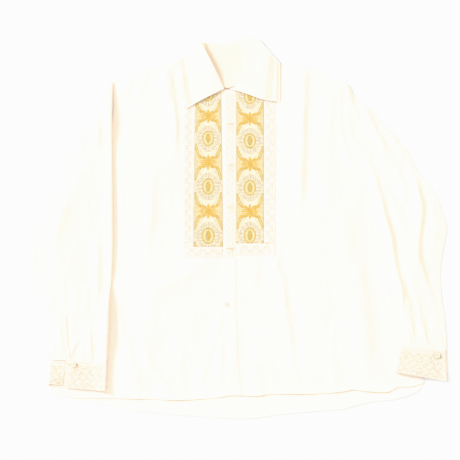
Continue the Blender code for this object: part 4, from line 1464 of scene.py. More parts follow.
        rows = int((BAND_TOP - self.strip.foot) / self.row_pitch)
        columns = int(2 * self.half_width / (0.82 * self.stitch))
        grid = strip_places(self.strip, self.head, rows, columns + 2)[1:-1, 1:-1]
        x, y = grid[..., 0].copy(), grid[..., 1].copy()
        chance = np.random.default_rng(21)
        step = 2 * self.half_width / (columns + 1)
        brick = (np.arange(x.shape[0]) % 2 - 0.5)[:, None] * 0.5 * step
        x += brick + chance.uniform(-0.15, 0.15, x.shape)
        y += chance.uniform(-0.12, 0.12, y.shape)
        seen = y < self.hidden_above(x)
        x, y = x[seen], y[seen]
        down = (self.head(x) - y) / (self.head(x) - self.strip.foot)
        left = self.strip.left_top + (self.strip.left_foot - self.strip.left_top) * down
        right = self.strip.right_top + (self.strip.right_foot - self.strip.right_top) * down
        u = (x - 0.5 * (left + right)) / (0.5 * (right - left)) * self.half_width
        thread, angle = self.chart(u, y)
        along = join(np.cos(angle), np.sin(angle), np.zeros(len(angle)))
        raised = np.where(thread == Thread.GOLD, 0.45, 0.2) + chance.uniform(-0.08, 0.08, len(x))
        centres = join(x, y, front_top(x, y) + GAP + CLOTH + raised - 0.15)
        needle = Needle()
        needle.sew(centres, along, self.stitch, 1.3 * self.row_pitch, 0.35, thread)
        wear(needle.make(self.name + "_stitches", self.wardrobe.threads()), "gold_embroidery")


@dataclass
class Vine:
    """A border of eyelets in a waving stem, in sizes along and across a strip."""

    length: float
    width: float
    rows: int = 1
    pitch: float = 21.0
    eyelet: float = 3.1
    edge: float = 2.6

    @property
    def lane(self) -> float:
        """Width of one row of the vine."""
        return (self.width - 2 * self.edge) / self.rows

    def middle(self, row: int) -> float:
        """Where the middle of a row lies across the strip."""
        return self.edge + self.lane * (row + 0.5)

    def stems(self) -> list[Array]:
        """The waving stems and the straight edge lines, as paths of (along, across).

        Returns:
            The paths.
        """
        run = np.linspace(0, self.length, max(8, int(self.length / 1.2)))
        paths = [join(run, 0 * run + self.edge),
                 join(run, 0 * run + self.width - self.edge)]
        for row in range(self.rows):
            wave = 0.30 * self.lane * np.sin(2 * math.pi * (run / self.pitch + 0.5 * row))
            paths.append(join(run, self.middle(row) + wave))
        return paths

    def eyelets(self) -> list[Array]:
        """Rings in the bends of the stems, with a small curl beside each.

        Returns:
            The paths.
        """
        turn = np.linspace(0, 2 * math.pi, 19)
        curl = np.linspace(0.2 * math.pi, 1.7 * math.pi, 14)
        paths = []
        for row in range(self.rows):
            middle = self.middle(row)
            count = int(2 * self.length / self.pitch)
            for index in range(count):
                along = (index + 0.5 - (row % 2) * 0.5 + 0.5) * self.pitch / 2
                if along < self.eyelet + 1 or along > self.length - self.eyelet - 1:
                    continue
                side = 1.0 if (index + row) % 2 else -1.0
                centre = middle + side * 0.17 * self.lane
                paths.append(np.stack([along + self.eyelet * np.cos(turn),
                                       centre + self.eyelet * np.sin(turn)], axis=-1))
                radius = 0.6 * self.eyelet
                end = along + 1.5 * self.eyelet + radius * np.cos(side * curl)
                rise = middle - side * 0.26 * self.lane + radius * np.sin(side * curl)
                paths.append(join(end, rise))
        return paths


@dataclass
class IvoryStrip:
    """An ivory strip that frames the gold bands, embroidered with a vine of eyelets."""

    name: str
    node: str
    strip: Strip
    head: Line
    hidden_above: Line
    upright: bool
    front: str
    wardrobe: Wardrobe

    def place(self, path: Array) -> Array:
        """Points on the strip for a path of (along, across).

        Args:
            path: The path's points.

        Returns:
            The points.
        """
        if self.upright:
            y = STRIP_TOP - path[:, 0]
            share = (STRIP_TOP - y) / (STRIP_TOP - self.strip.foot)
            left = self.strip.left_top + (self.strip.left_foot - self.strip.left_top) * share
            x = left + path[:, 1]
        else:
            x = self.strip.left_foot + path[:, 0]
            y = self.strip.foot + path[:, 1]
        return on_front(join(x, y))

    def build(self) -> None:
        """Make the strip, its vine and the sewing round it."""
        rows, columns = (150, 12) if self.upright else (12, 44)
        places = strip_places(self.strip, self.head, rows, columns)
        item = Tailor.sheet(self.name, rounded(on_front(places), 0.25), self.wardrobe.dense)
        wear(item, "embroidered_ivory", self.node)
        across = self.strip.right_foot - self.strip.left_foot
        top = STRIP_TOP if self.upright else float(np.max(self.head(places[:1, :, 0])))
        fall = top - self.strip.foot
        length, width = (fall, across) if self.upright else (across, fall)
        vine = Vine(length, width)
        needle = Needle()
        for path in vine.stems():
            self.cover(needle, path, STRIP_STEM, Thread.CREAM)
        for path in vine.eyelets():
            self.cover(needle, path, STRIP_EYELET, Thread.BEIGE)
        wear(needle.make(self.name + "_vine", self.wardrobe.threads()), "embroidered_ivory")

    def cover(self, needle: Needle, path: Array, stitch: SatinStitch, thread: int) -> None:
        """Sew a satin line along a path, where it shows.

        Args:
            needle: Gathers the stitches.
            path: The path's points.
            stitch: The stitches' sizes.
            thread: The thread to sew with.
        """
        points = self.place(path)
        points = points[points[:, 1] < self.hidden_above(points[:, 0])]
        if len(points) > 3:
            needle.satin(points, stitch, thread)


@dataclass
class BibHalf:
    """The strips of the bib on one side of the placket, with their ends under a collar leaf."""

    side: str
    leaf_foot: list[Knot]
    gold: Strip
    upright: Strip
    level: Strip
    ovals: tuple[float, ...]
    wardrobe: Wardrobe

    def __post_init__(self) -> None:
        """Lay out the lower line of the leaf."""
        self.line = Curve(self.leaf_foot)

    def head(self, x: Array) -> Array:
        """Upper end of the upright strips, under the leaf."""
        return np.minimum(self.line.y_at(x) + BAND_HEAD, BAND_TOP)

    def shown(self, x: Array) -> Array:
        """Where the embroidery ends under the leaf."""
        return self.head(x) - LEAF_COVER

    def foot_head(self, x: Array) -> Array:
        """Upper end of the foot strip, close below the gold band."""
        return 0 * x + self.gold.foot - GAP

    def gold_band(self) -> None:
        """Make the gold band."""
        GoldBand(f"gold_band_{self.side}", f"bib_gold_band_{self.side}", self.gold, self.head,
                 self.shown, self.ovals, f"shirt_front_{self.side}", self.wardrobe).build()

    def side_strip(self) -> None:
        """Make the ivory strip beside it."""
        IvoryStrip(f"side_strip_{self.side}", f"bib_side_strip_{self.side}", self.upright,
                   self.head, self.shown, True, f"shirt_front_{self.side}",
                   self.wardrobe).build()

    def foot_strip(self) -> None:
        """Make the ivory strip below both."""
        IvoryStrip(f"foot_strip_{self.side}", f"bib_foot_strip_{self.side}", self.level,
                   self.foot_head, self.shown, False, f"shirt_front_{self.side}",
                   self.wardrobe).build()


@dataclass
class Placket:
    """The strip down the opening, humped over its buttons, with buttonholes across it."""

    wardrobe: Wardrobe
    slit_from: float = 5.0
    slit_to: float = 20.5
    slit_rise: float = 1.5

    def top(self, x: Array, y: Array) -> Array:
        """Height of the strip's upper face.

        Args:
            x: Places across.
            y: Places along the shirt.

        Returns:
            The height at each place.
        """
        share = (x - PLACKET_LINE.x_at(y)) / PLACKET_WIDTH
        height = front_top(x, y) + GAP + CLOTH
        for station in BUTTON_STATIONS:
            middle = x - PLACKET_LINE.x_at(station) - 0.42 * PLACKET_WIDTH
            near = hump(y - station, 9.0) * hump(middle, 7.5)
            slit = hump(y - station - self.slit_rise, 0.9)
            slit = slit * smooth_step(share * PLACKET_WIDTH, 3, 6)
            end = 1 - smooth_step(share, 0.84, 0.9)
            height = height + (BUTTON_HEIGHT + 0.3) * near - 0.45 * slit * end
        return height + Ripple(seed=12, wavelength=17.0, height=0.12).at(x, y)

    def on_top(self, places: Array, over: float = 0.0) -> Array:
        """Points at these places, so far over the strip's upper face."""
        return lift(places, self.top(places[..., 0], places[..., 1]) + over)

    def build(self) -> None:
        """Make the strip, its sewing and its buttonholes."""
        rows = np.linspace(270.7, -330.0, 280)[:, None]
        across = np.linspace(0, 1, 15)[None]
        x = PLACKET_LINE.x_at(rows) + PLACKET_WIDTH * across
        y = rows + 0 * across
        upper = self.on_top(join(x, y))
        item = Tailor.sheet("placket_strip", rounded(upper, 0.25, 1), self.wardrobe.ivory)
        wear(item, "embroidered_ivory", "front_placket")

        needle = Needle()
        run = np.linspace(262.0, -326.0, 600)
        for inset in (2.0, PLACKET_WIDTH - 2.0):
            line = join(PLACKET_LINE.x_at(run) + inset, run)
            needle.run(self.on_top(line), TOPSTITCH, Thread.CREAM)
        self.pattern(needle)
        for station in BUTTON_STATIONS:
            self.buttonhole(needle, station + self.slit_rise)
        wear(needle.make("placket_stitches", self.wardrobe.threads()), "embroidered_ivory")

    def pattern(self, needle: Needle) -> None:
        """Sew the faint upright pattern of the part beside the bib.

        Args:
            needle: Gathers the stitches.
        """
        run = np.linspace(264.0, FOOT_STRIP_LEFT.foot, 420)
        for number, inset in enumerate((4.2, 7.0, 9.8, 12.6, 15.4, 18.2, 20.6)):
            wave = 0.7 * np.sin(2 * math.pi * run / 13.0 + 1.3 * number)
            x = PLACKET_LINE.x_at(run) + inset + wave
            thread = Thread.BEIGE if number % 2 else Thread.LINEN
            needle.run(self.on_top(join(x, run)), PLACKET_FILL, thread)

    def buttonhole(self, needle: Needle, y: float) -> None:
        """Sew a buttonhole: two close rows along the slit and a bar across each end.

        Args:
            needle: Gathers the stitches.
            y: Its place along the shirt.
        """
        left = float(PLACKET_LINE.x_at(y))
        run = np.linspace(left + self.slit_from, left + self.slit_to, 24)
        for beside in (-0.85, 0.85):
            line = join(run, y + beside + 0 * run)
            needle.satin(self.on_top(line, 0.2), PLACKET_HOLE, Thread.LINEN)
        for x in (run[0], run[-1]):
            bar = join(x + np.zeros(6), y + np.linspace(-1.6, 1.6, 6))
            needle.satin(self.on_top(bar, 0.1), PLACKET_BAR, Thread.LINEN)


@dataclass
class Sleeve:
    """A sleeve laid flat: two layers, a rolled edge towards the body, and gathers at the cuff."""

    name: str
    node: str
    outer_knots: list[Knot]
    inner_knots: list[Knot]
    creases: tuple[Crease, ...]
    swells: tuple[Swell, ...]
    mirrored: bool
    wardrobe: Wardrobe
    seed: int
    rests_on: tuple[str, ...]
    rows: int = 190
    top_columns: int = 62
    foot_columns: int = 16
    roll_points: int = 8
    thin_roll: float = 1.7
    full_roll: float = 3.8
    crown: float = 3.2

    def head(self, places: Array, shares: Array, t: Array, width: Array) -> Array:
        """Height of the upper layer over the height at which the sleeve rests.

        Args:
            places: Places across and along.
            shares: Their shares of the width.
            t: Shares downwards.
            width: The sleeve's width at each row.

        Returns:
            The height at each place.
        """
        x, y = places[..., 0], places[..., 1]
        to_cuff = smooth_step(t, 0.8, 1.0)
        into_cuff = CUFF_STACK - 2 * LAYER_WALL - GAP - 0.5
        flat = 2 * LAYER_WALL + GAP - 0.4 * (1 - to_cuff) + into_cuff * to_cuff
        from_inner = shares if self.mirrored else 1 - shares
        edge = swell_at(t, self.swells)
        loose = np.sin(np.pi * np.clip(0.08 + 0.92 * t, 0, 1)) ** 0.5
        crown = self.crown * loose * np.sin(np.pi * np.clip(shares, 0, 1)) ** 0.8
        roll = (edge - flat) * hump(from_inner * width, 15.0)
        calm = smooth_step(np.minimum(shares, 1 - shares) * width, 1.5, 11.0)
        gathers = self.gathers(shares * width, t)
        ripple = Ripple(self.seed, 58.0, 0.4, along=0.3).at(x, y)
        ripple = ripple + Ripple(self.seed + 1, 19.0, 0.13).at(x, y)
        ripple = ripple + Ripple(self.seed + 2, 13.0, 0.13, along=0.12).at(x, y)
        folds = crease_height(x, y, self.creases) * (1 - 0.55 * smooth_step(t, 0.95, 1.0))
        height = flat + crown + roll + calm * (folds + ripple * smooth_step(t, 0.0, 0.06) + gathers)
        return np.maximum(height, flat - 0.6)

    def gathers(self, across: Array, t: Array) -> Array:
        """Height of the small folds gathered into the cuff, which fade up the sleeve.

        Args:
            across: Distances from the left edge.
            t: Shares downwards.

        Returns:
            The height at each place.
        """
        chance = np.random.default_rng(self.seed + 5)
        total = np.zeros(np.shape(across))
        reach = 1 - t
        for _ in range(26):
            middle, width = chance.uniform(4, 112), chance.uniform(1.3, 2.6)
            length, height = chance.uniform(0.05, 0.30), chance.uniform(0.2, 0.7)
            lean = chance.uniform(-40, 40)
            total += height * hump(across - middle - lean * reach, width * (1 + 5 * reach)) * (
                1 - smooth_step(reach, 0.2 * length, length))
        return total

    def rings(self) -> tuple[Array, Array, Array]:
        """Work out the sleeve's outer and inner rings and the grid of its upper layer.

        Returns:
            The outer rings, the inner rings and the upper layer.
        """
        t = np.linspace(0, 1, self.rows)
        outer, inner = Curve(self.outer_knots).at(t), Curve(self.inner_knots).at(t)
        left, right = (inner, outer) if self.mirrored else (outer, inner)
        width = np.linalg.norm(right - left, axis=1)
        across = (right - left) / width[:, None]
        edge = swell_at(t, self.swells)
        thin = np.minimum(self.thin_roll, 0.3 * width)
        full = np.minimum(np.minimum(self.full_roll, edge / 2), 0.3 * width)
        roll_left, roll_right = (full, thin) if self.mirrored else (thin, full)

        def layer(stations: Array) -> tuple[Array, Array]:
            """Places across the flat part of every ring.

            Args:
                stations: Stations across the flat part, from 0 to 1.

            Returns:
                The places and their shares of the width.
            """
            between = (width - roll_left - roll_right)[:, None]
            shares = (roll_left[:, None] + between * stations) / width[:, None]
            return left[:, None] + (right - left)[:, None] * shares[..., None], shares

        foot_places, _ = layer(np.linspace(0, 1, self.foot_columns)[None])
        head_places, head_shares = layer(np.linspace(1, 0, self.top_columns)[None])
        low = rest_height(foot_places[..., 0], foot_places[..., 1])
        head_rest = rest_height(head_places[..., 0], head_places[..., 1])
        high = head_rest + self.head(head_places, head_shares, t[:, None], width[:, None])
        stacks = []
        for inset in (0.0, CLOTH):
            parts = [lift(foot_places, low + inset)]
            for side, foot_end, head_end, roll in ((1, -1, 0, roll_right), (-1, 0, -1, roll_left)):
                centre = foot_places[:, foot_end]
                bottom, top = low[:, foot_end], high[:, head_end]
                angles = np.linspace(-78, 78, self.roll_points) * side
                reach = side * (roll - inset)[:, None] * np.cos(np.radians(angles))
                places = centre[:, None] + across[:, None] * reach[..., None]
                middle, half = 0.5 * (bottom + top), 0.5 * (top - bottom) - inset
                heights = middle[:, None] + half[:, None] * np.sin(np.radians(angles))
                parts.append(lift(places, heights))
                if side > 0:
                    parts.append(lift(head_places, high - inset))
            stacks.append(np.concatenate(parts, axis=1))
        return stacks[0], stacks[1], lift(head_places, high)

    def build(self) -> Array:
        """Make the sleeve and give the grid of its upper layer.

        Returns:
            The points of the upper layer.
        """
        outer, inner, upper = self.rings()
        item = Tailor.tube(self.name, outer, inner, self.wardrobe.sleeve)
        wear(item, "ivory_cloth", self.node)
        return upper


@dataclass
class Cuff:
    """An embroidered cuff, laid flat, that goes round and laps over its own end."""

    name: str
    node: str
    left: list[Knot]
    right: list[Knot]
    lap: float
    flap: float
    lap_on_left: bool
    flap_rise: float
    wardrobe: Wardrobe
    seed: int
    sleeve: str
    rows: int = 22
    columns: int = 46
    flap_columns: int = 18
    button: float = 48.0
    button_down: float = 7.0
    edge_lift: float = 0.0
    plain: float = 9.0
    over_sleeve: float = 1.6
    foot_lift: float = 0.0
    flap_lift: float = 0.0
    roll: float = 2.3

    def across(self, t: Array) -> tuple[Array, Array, Array]:
        """Read the cuff's two sides.

        Args:
            t: Shares downwards.

        Returns:
            The lapped side's line, the direction away from it, and the width.
        """
        left, right = Curve(self.left).at(t), Curve(self.right).at(t)
        width = np.linalg.norm(right - left, axis=-1)
        along = (right - left) / width[..., None]
        return (left, along, width) if self.lap_on_left else (right, -along, width)

    def upper_lift(self, share: Array, t: Array) -> Array:
        """How far the upper layer stands off: over the gathers at the top, wavy at the foot.

        Args:
            share: Shares of the cuff's width, from the lapped side.
            t: Shares downwards.

        Returns:
            The height at each place.
        """
        wave = Ripple(self.seed, 46.0, 0.8).at(share * 114.0, 20.0 * t)
        far = smooth_step(share, 0.25, 0.65)
        foot = (np.maximum(0.8 + wave, 0.0) + self.foot_lift * far) * smooth_step(t, 0.45, 1.0)
        edge = self.edge_lift * smooth_step(share, 0.72, 1.0)
        return 0.9 * (1 - smooth_step(t, 0.0, 0.16)) + foot + edge

    def upper_point(self, share: Array, t: Array) -> Array:
        """Points on the upper layer.

        Args:
            share: Shares of the cuff's width, from the lapped side.
            t: Shares downwards.

        Returns:
            The points.
        """
        start, along, width = self.across(t)
        place = start + along * (share * width)[..., None]
        place[..., 1] += self.over_sleeve * (1 - smooth_step(t, 0.0, 0.05))
        top = rest_height(place[..., 0], place[..., 1]) + 2 * LAYER + LAYER_WALL
        return lift(place, top + self.upper_lift(share, t))

    def flap_point(self, share: Array, t: Array) -> Array:
        """Points on the end that shows beside the lap.

        Args:
            share: Shares of the cuff's width, from the lapped side.
            t: Shares downwards.

        Returns:
            The points.
        """
        start, along, width = self.across(t)
        place = start + along * (share * width)[..., None]
        place[..., 1] += self.flap_rise * smooth_step(t, 0.6, 1.0) * (1 - 0.5 * share)
        rise = self.flap_lift * smooth_step(t, 0.5, 1.0) * (1 - smooth_step(share, 0.12, 0.26))
        return lift(place, rest_height(place[..., 0], place[..., 1]) + LAYER + LAYER_WALL + rise)

    def section(self, t: Array, inset: float) -> Array:
        """Sections from the upper end, round, to the end beneath, as outer points or set in.

        Args:
            t: Shares downwards.
            inset: How far inside the outer face.

        Returns:
            The points, by row and column.
        """
        start, along, width = self.across(t)
        roll = self.roll
        rows = len(t)

        def column(share_mm: Array, height: Array) -> Array:
            """One column of points at a distance from the lapped side.

            Args:
                share_mm: The distance from the lapped side.
                height: The height over what the cuff rests on.

            Returns:
                The points.
            """
            place = start + along * np.broadcast_to(share_mm, rows)[:, None]
            rest = rest_height(place[:, 0], place[:, 1])
            return lift(place, rest + height)

        def layer(point: Field, shares: Array) -> list[Array]:
            """Columns of one layer at these shares of the width."""
            drop = np.array([0.0, 0.0, inset])
            return [point(np.full(rows, share), t) - drop for share in shares]

        def bend(middle: Array | float, side: int, top: Array) -> list[Array]:
            """Columns round one edge.

            Args:
                middle: The bend's middle, from the lapped side.
                side: 1 where it bulges away from the lapped side, or -1.
                top: Height of its upper side.

            Returns:
                The columns.
            """
            columns = []
            for angle in np.radians(np.linspace(75 * side, -75 * side, 7)):
                reach = side * (roll - inset) * math.cos(angle)
                height = 0.5 * top + (0.5 * top - inset) * math.sin(angle)
                columns.append(column(middle + reach, height))
            return columns

        last_share = 1 - roll / float(width.min())
        shares = np.minimum(np.linspace(self.lap, 1.0, self.columns)[:-1], last_share)
        lifted = self.upper_lift(np.ones(rows), t)
        beneath = np.linspace(roll / float(width.max()), self.flap, self.flap_columns)
        columns = layer(self.upper_point, shares)
        columns += bend(width - roll, 1, 2 * LAYER + LAYER_WALL + lifted)
        low = np.full(rows, inset)
        columns += [column(share * width, low) for share in np.linspace(0.97, 0.04, 14)]
        columns += bend(roll, -1, np.full(rows, LAYER + LAYER_WALL))
        columns += layer(self.flap_point, beneath)
        return np.stack(columns, axis=1)

    def build(self) -> None:
        """Make the cuff and its embroidery."""
        t = np.linspace(0, 1, self.rows)
        outer, inner = self.section(t, 0.0), self.section(t, CLOTH)
        item = Tailor.sheet(self.name, outer, self.wardrobe.dense, lower=inner)
        wear(item, "embroidered_ivory", self.node)
        needle = Needle()
        width = float(np.linalg.norm(np.array(self.left[0]) - np.array(self.right[0])))
        depth = float(np.linalg.norm(np.array(self.left[0]) - np.array(self.left[1])))
        lap = self.lap * width
        self.embroider(needle, self.upper_point, (lap + self.plain, width - 2.5), width, depth)
        self.embroider(needle, self.flap_point, (2.5, lap - 1.0), width, depth)
        run = np.linspace(0.01, 0.99, 60)
        for place in np.arange(1.4, self.plain - 0.9, 1.9) + lap:
            thread = Thread.BEIGE if place < lap + 1.5 else Thread.LINEN
            needle.run(self.upper_point(np.full(60, place / width), run), CUFF_BAND, thread)
        if self.lap > 0.1:
            # A line of dark olive stitches along the lap's edge: painted shadow of the gap under
            # the lap.
            shade = self.flap_point(np.full(24, self.lap - 0.012), np.linspace(0.4, 0.99, 24))
            needle.satin(shade, LAP_PAINTED_SHADOW, Thread.OLIVE)
        hole = np.linspace(-9.0, 9.0, 24)
        for beside in (-0.9, 0.9):
            down = np.full(24, (self.button_down + beside) / depth)
            points = self.upper_point((self.button + hole) / width, down)
            needle.satin(points, CUFF_HOLE, Thread.BEIGE)
        wear(needle.make(self.name + "_embroidery", self.wardrobe.threads()), "embroidered_ivory")

    def embroider(self, needle: Needle, point: Field, span: tuple[float, float], width: float,
                  depth: float) -> None:
        """Sew rows of vines on one layer of the cuff.

        Args:
            needle: Gathers the stitches.
            point: Gives points of the layer.
            span: Where the vines start and end, from the lapped side.
            width: The cuff's width.
            depth: The cuff's depth from its seam to its foot.
        """
        start, end = span
        if end - start < 12:
            return
        head = 7.0
        vine = Vine(end - start, depth - head, rows=4, pitch=15.0, eyelet=2.2, edge=1.6)
        self.fill(needle, point, (start / width, end / width), head / depth)
        sewn = ((vine.stems(), CUFF_STEM, Thread.CREAM),
                (vine.eyelets(), CUFF_EYELET, Thread.BEIGE))
        for paths, stitch, thread in sewn:
            for path in paths:
                share, down = (start + path[:, 0]) / width, (head + path[:, 1]) / depth
                needle.satin(point(share, np.clip(down, 0, 1)), stitch, thread)
        run = np.linspace(start, end, 60) / width
        for down in (0.06, 0.10):
            needle.run(point(run, np.full(60, down)), CUFF_HEAD, Thread.BEIGE)

    def fill(self, needle: Needle, point: Field, span: tuple[float, float], head: float) -> None:
        """Cover the ground between the vines with short stitches of four threads.

        Args:
            needle: Gathers the stitches.
            point: Gives points of the layer.
            span: Shares of the width to fill.
            head: Share downwards of its upper end.
        """
        chance = np.random.default_rng(self.seed + 3)
        share, down = np.meshgrid(np.arange(*span, 0.019), np.arange(head + 0.02, 0.985, 0.042))
        share = share + chance.uniform(-0.005, 0.005, share.shape)
        down = np.clip(down + chance.uniform(-0.012, 0.012, down.shape), 0, 0.99)
        places = point(share.ravel(), down.ravel())
        turn = chance.uniform(0, math.pi, len(places))
        along = join(np.cos(turn), np.sin(turn), 0 * turn)
        thread = chance.choice([Thread.CREAM, Thread.LINEN, Thread.BEIGE, Thread.STRAW],
                               len(places), p=[0.42, 0.28, 0.2, 0.1])
        needle.sew(places, along, 2.6, 1.3, 0.25, thread)


@dataclass
class Leaf:
    """A collar leaf turned down over a front, rolled along its fold, with drawn-thread borders."""

    name: str
    node: str
    top: list[Knot]
    foot: list[Knot]
    outer: list[Knot]
    fold: list[Knot]
    fold_on_right: bool
    rise: float
    borders: tuple[float, ...]
    wardrobe: Wardrobe
    front: str
    roll: float = 3.0
    rows: int = 58
    columns: int = 44

    def grid(self) -> Array:
        """Upper face of the leaf, from its outer edge to its rolled fold.

        Returns:
            The points, by row and column.
        """
        left, right = (self.outer, self.fold) if self.fold_on_right else (self.fold, self.outer)
        down = np.linspace(0, 1, self.rows)
        lines = (Curve(line) for line in (self.top, self.foot, left, right))
        places = patch(*lines, down, self.columns)
        if not self.fold_on_right:
            places = places[:, ::-1]
        u, v = np.meshgrid(np.linspace(0, 1, self.columns), down)
        x, y = places[..., 0], places[..., 1]
        body = self.rise * smooth_step(1 - v, -0.2, 0.6) * u ** 2.2
        foot = 2.0 * smooth_step(v, 0.72, 1.0) * np.sin(np.pi * np.clip(u, 0.02, 0.98)) ** 0.7
        tip = 1.0 * (1 - v) ** 2 * (1 - u)
        ripple = Ripple(31, 34.0, 0.3).at(x, y)
        past_bib = past_span(x, SIDE_STRIP_LEFT.left_foot, SIDE_STRIP_RIGHT.right_foot)
        layers = LAYER * (1 - smooth_step(past_bib, 1.0, 7.0))
        heights = front_top(x, y) + GAP + layers + CLOTH + GAP + body + foot + tip
        heights = heights + ripple * np.sin(np.pi * v)
        heights = heights + self.border_height(u, v, places)
        face = lift(places, heights)
        edge = face[:, -1]
        inward = places[:, -1] - places[:, -6]
        inward /= np.linalg.norm(inward, axis=1, keepdims=True)
        radius = np.minimum(self.roll, 0.45 * (edge[:, 2] - FRONT_BASE - 1.2))[:, None]
        turns = [face]
        for angle in np.radians(np.linspace(70, -70, 9)):
            place = edge[:, :2] + inward * radius * math.cos(angle)
            height = edge[:, 2:] - radius + radius * math.sin(angle)
            turns.append(np.concatenate([place, height], axis=1)[:, None])
        return np.concatenate(turns, axis=1)

    def border_height(self, u: Array, v: Array, places: Array) -> Array:
        """Shallow troughs of the drawn-thread borders beside the outer edge.

        Args:
            u: Shares of the width.
            v: Shares downwards.
            places: Places across and along.

        Returns:
            The height at each place.
        """
        inset = np.linalg.norm(places - places[:, :1], axis=-1)
        total = np.zeros(np.shape(u))
        for border in self.borders:
            total -= 0.35 * hump(inset - border, 1.5)
        return total + 0.35 * (1 - smooth_step(inset, 0.0, 6.0))

    def build(self) -> None:
        """Make the leaf, its topstitching and the bars of its borders."""
        grid = self.grid()
        item = Tailor.sheet(self.name, grid, self.wardrobe.collar)
        wear(item, "ivory_collar", self.node)
        face = grid[:, :self.columns]
        inset = np.linalg.norm(face[..., :2] - face[:, :1, :2], axis=-1)
        needle = Needle()
        for border in self.borders:
            needle.satin(self.line_at(face, inset, border), BORDER_BAR, Thread.LINEN)
            for beside in (-2.2, 2.2):
                needle.run(self.line_at(face, inset, border + beside), BORDER_SIDE, Thread.BEIGE)
        foot = face[-5, 3:-3] * 0.5 + face[-4, 3:-3] * 0.5
        for line in (self.line_at(face, inset, 3.0), foot):
            needle.run(line, TOPSTITCH, Thread.CREAM)
        wear(needle.make(self.name + "_stitches", self.wardrobe.threads()), "ivory_collar")

    @staticmethod
    def line_at(face: Array, inset: Array, distance: float) -> Array:
        """The line that runs down the leaf at a distance from its outer edge.

        Args:
            face: Points of the upper face.
            inset: Their distances from the outer edge.
            distance: The line's distance.

        Returns:
            The line's points.
        """
        points = [[np.interp(distance, row_inset, row[:, i]) for i in range(3)]
                  for row, row_inset in zip(face[2:-2], inset[2:-2]) if row_inset[-1] > distance]
        return np.array(points)


@dataclass
class Neck:
    """The collar behind the neck: rolled at the top, its inner face showing to the neck seam."""

    wardrobe: Wardrobe
    columns: int = 84
    top_height: float = 6.0
    end_height: float = 3.4
    turned_under: int = 15

    def grid(self) -> Array:
        """Points of the piece from its turned-under end, over the roll and down inside the neck.

        Returns:
            The points, by row and column.
        """
        top, foot = Curve(NECK_TOP), Curve(NECK_FOOT)
        share = np.linspace(0, 1, self.columns)
        head, low = top.at(share), foot.at(share)
        wide = np.sin(np.pi * np.clip(share, 0.03, 0.97)) ** 0.35
        crest = self.end_height + (self.top_height - self.end_height) * wide
        roll = np.minimum(3.0, 0.45 * (head[:, 1] - NAPE))
        columns = []
        for step in np.linspace(0, 1, 6):
            y = NAPE + (head[:, 1] - roll - NAPE) * step
            columns.append(join(head[:, 0], y, 0.1 + CLOTH + 0 * y))
        for angle in np.radians(np.linspace(-75, 75, 9)):
            y = head[:, 1] - roll + roll * math.cos(angle)
            z = 0.5 * (crest + 0.8) + 0.5 * (crest - 0.8) * math.sin(angle)
            columns.append(join(head[:, 0], y, z))
        for step in np.linspace(0.02, 1, 26):
            place = join(head[:, 0], head[:, 1] - roll) * (1 - step) + low * step
            floor = front_top(place[:, 0], place[:, 1]) + GAP + LAYER_WALL
            fall = (1 - smooth_step(np.full(len(share), step), 0.0, 0.85))
            seam = 0.5 * hump(place[:, 1] - NECK_SEAM, 2.2)
            ripple = Ripple(41, 30.0, 0.2).at(place[:, 0], place[:, 1])
            z = floor + (crest - floor) * fall + seam + ripple
            columns.append(lift(place, np.maximum(z, floor - 0.2)))
        return np.stack(columns, axis=1)

    def build(self) -> None:
        """Make the piece and the sewing of the neck seam."""
        grid = self.grid()
        under = grid - CLOTH * grid_normals(grid, first_seen=self.turned_under)
        # The cloth here is darker than the ivory: painted shade inside the collar.
        item = Tailor.sheet("collar_stand", grid, self.wardrobe.neck, lower=under)
        wear(item, "ivory_collar", "collar_back")
        seen = grid[:, self.turned_under:]
        row = NECK_SEAM - 2.5
        line = []
        for place in np.linspace(-76, 24, 80):
            points = seen[int(np.argmin(np.abs(seen[:, 8, 0] - place)))]
            line.append([place, row, np.interp(-row, -points[:, 1], points[:, 2])])
        needle = Needle()
        needle.run(np.array(line), NECK_STITCH, 0)
        wear(needle.make("neck_seam_stitches", [self.wardrobe.sewing]), "ivory_collar")


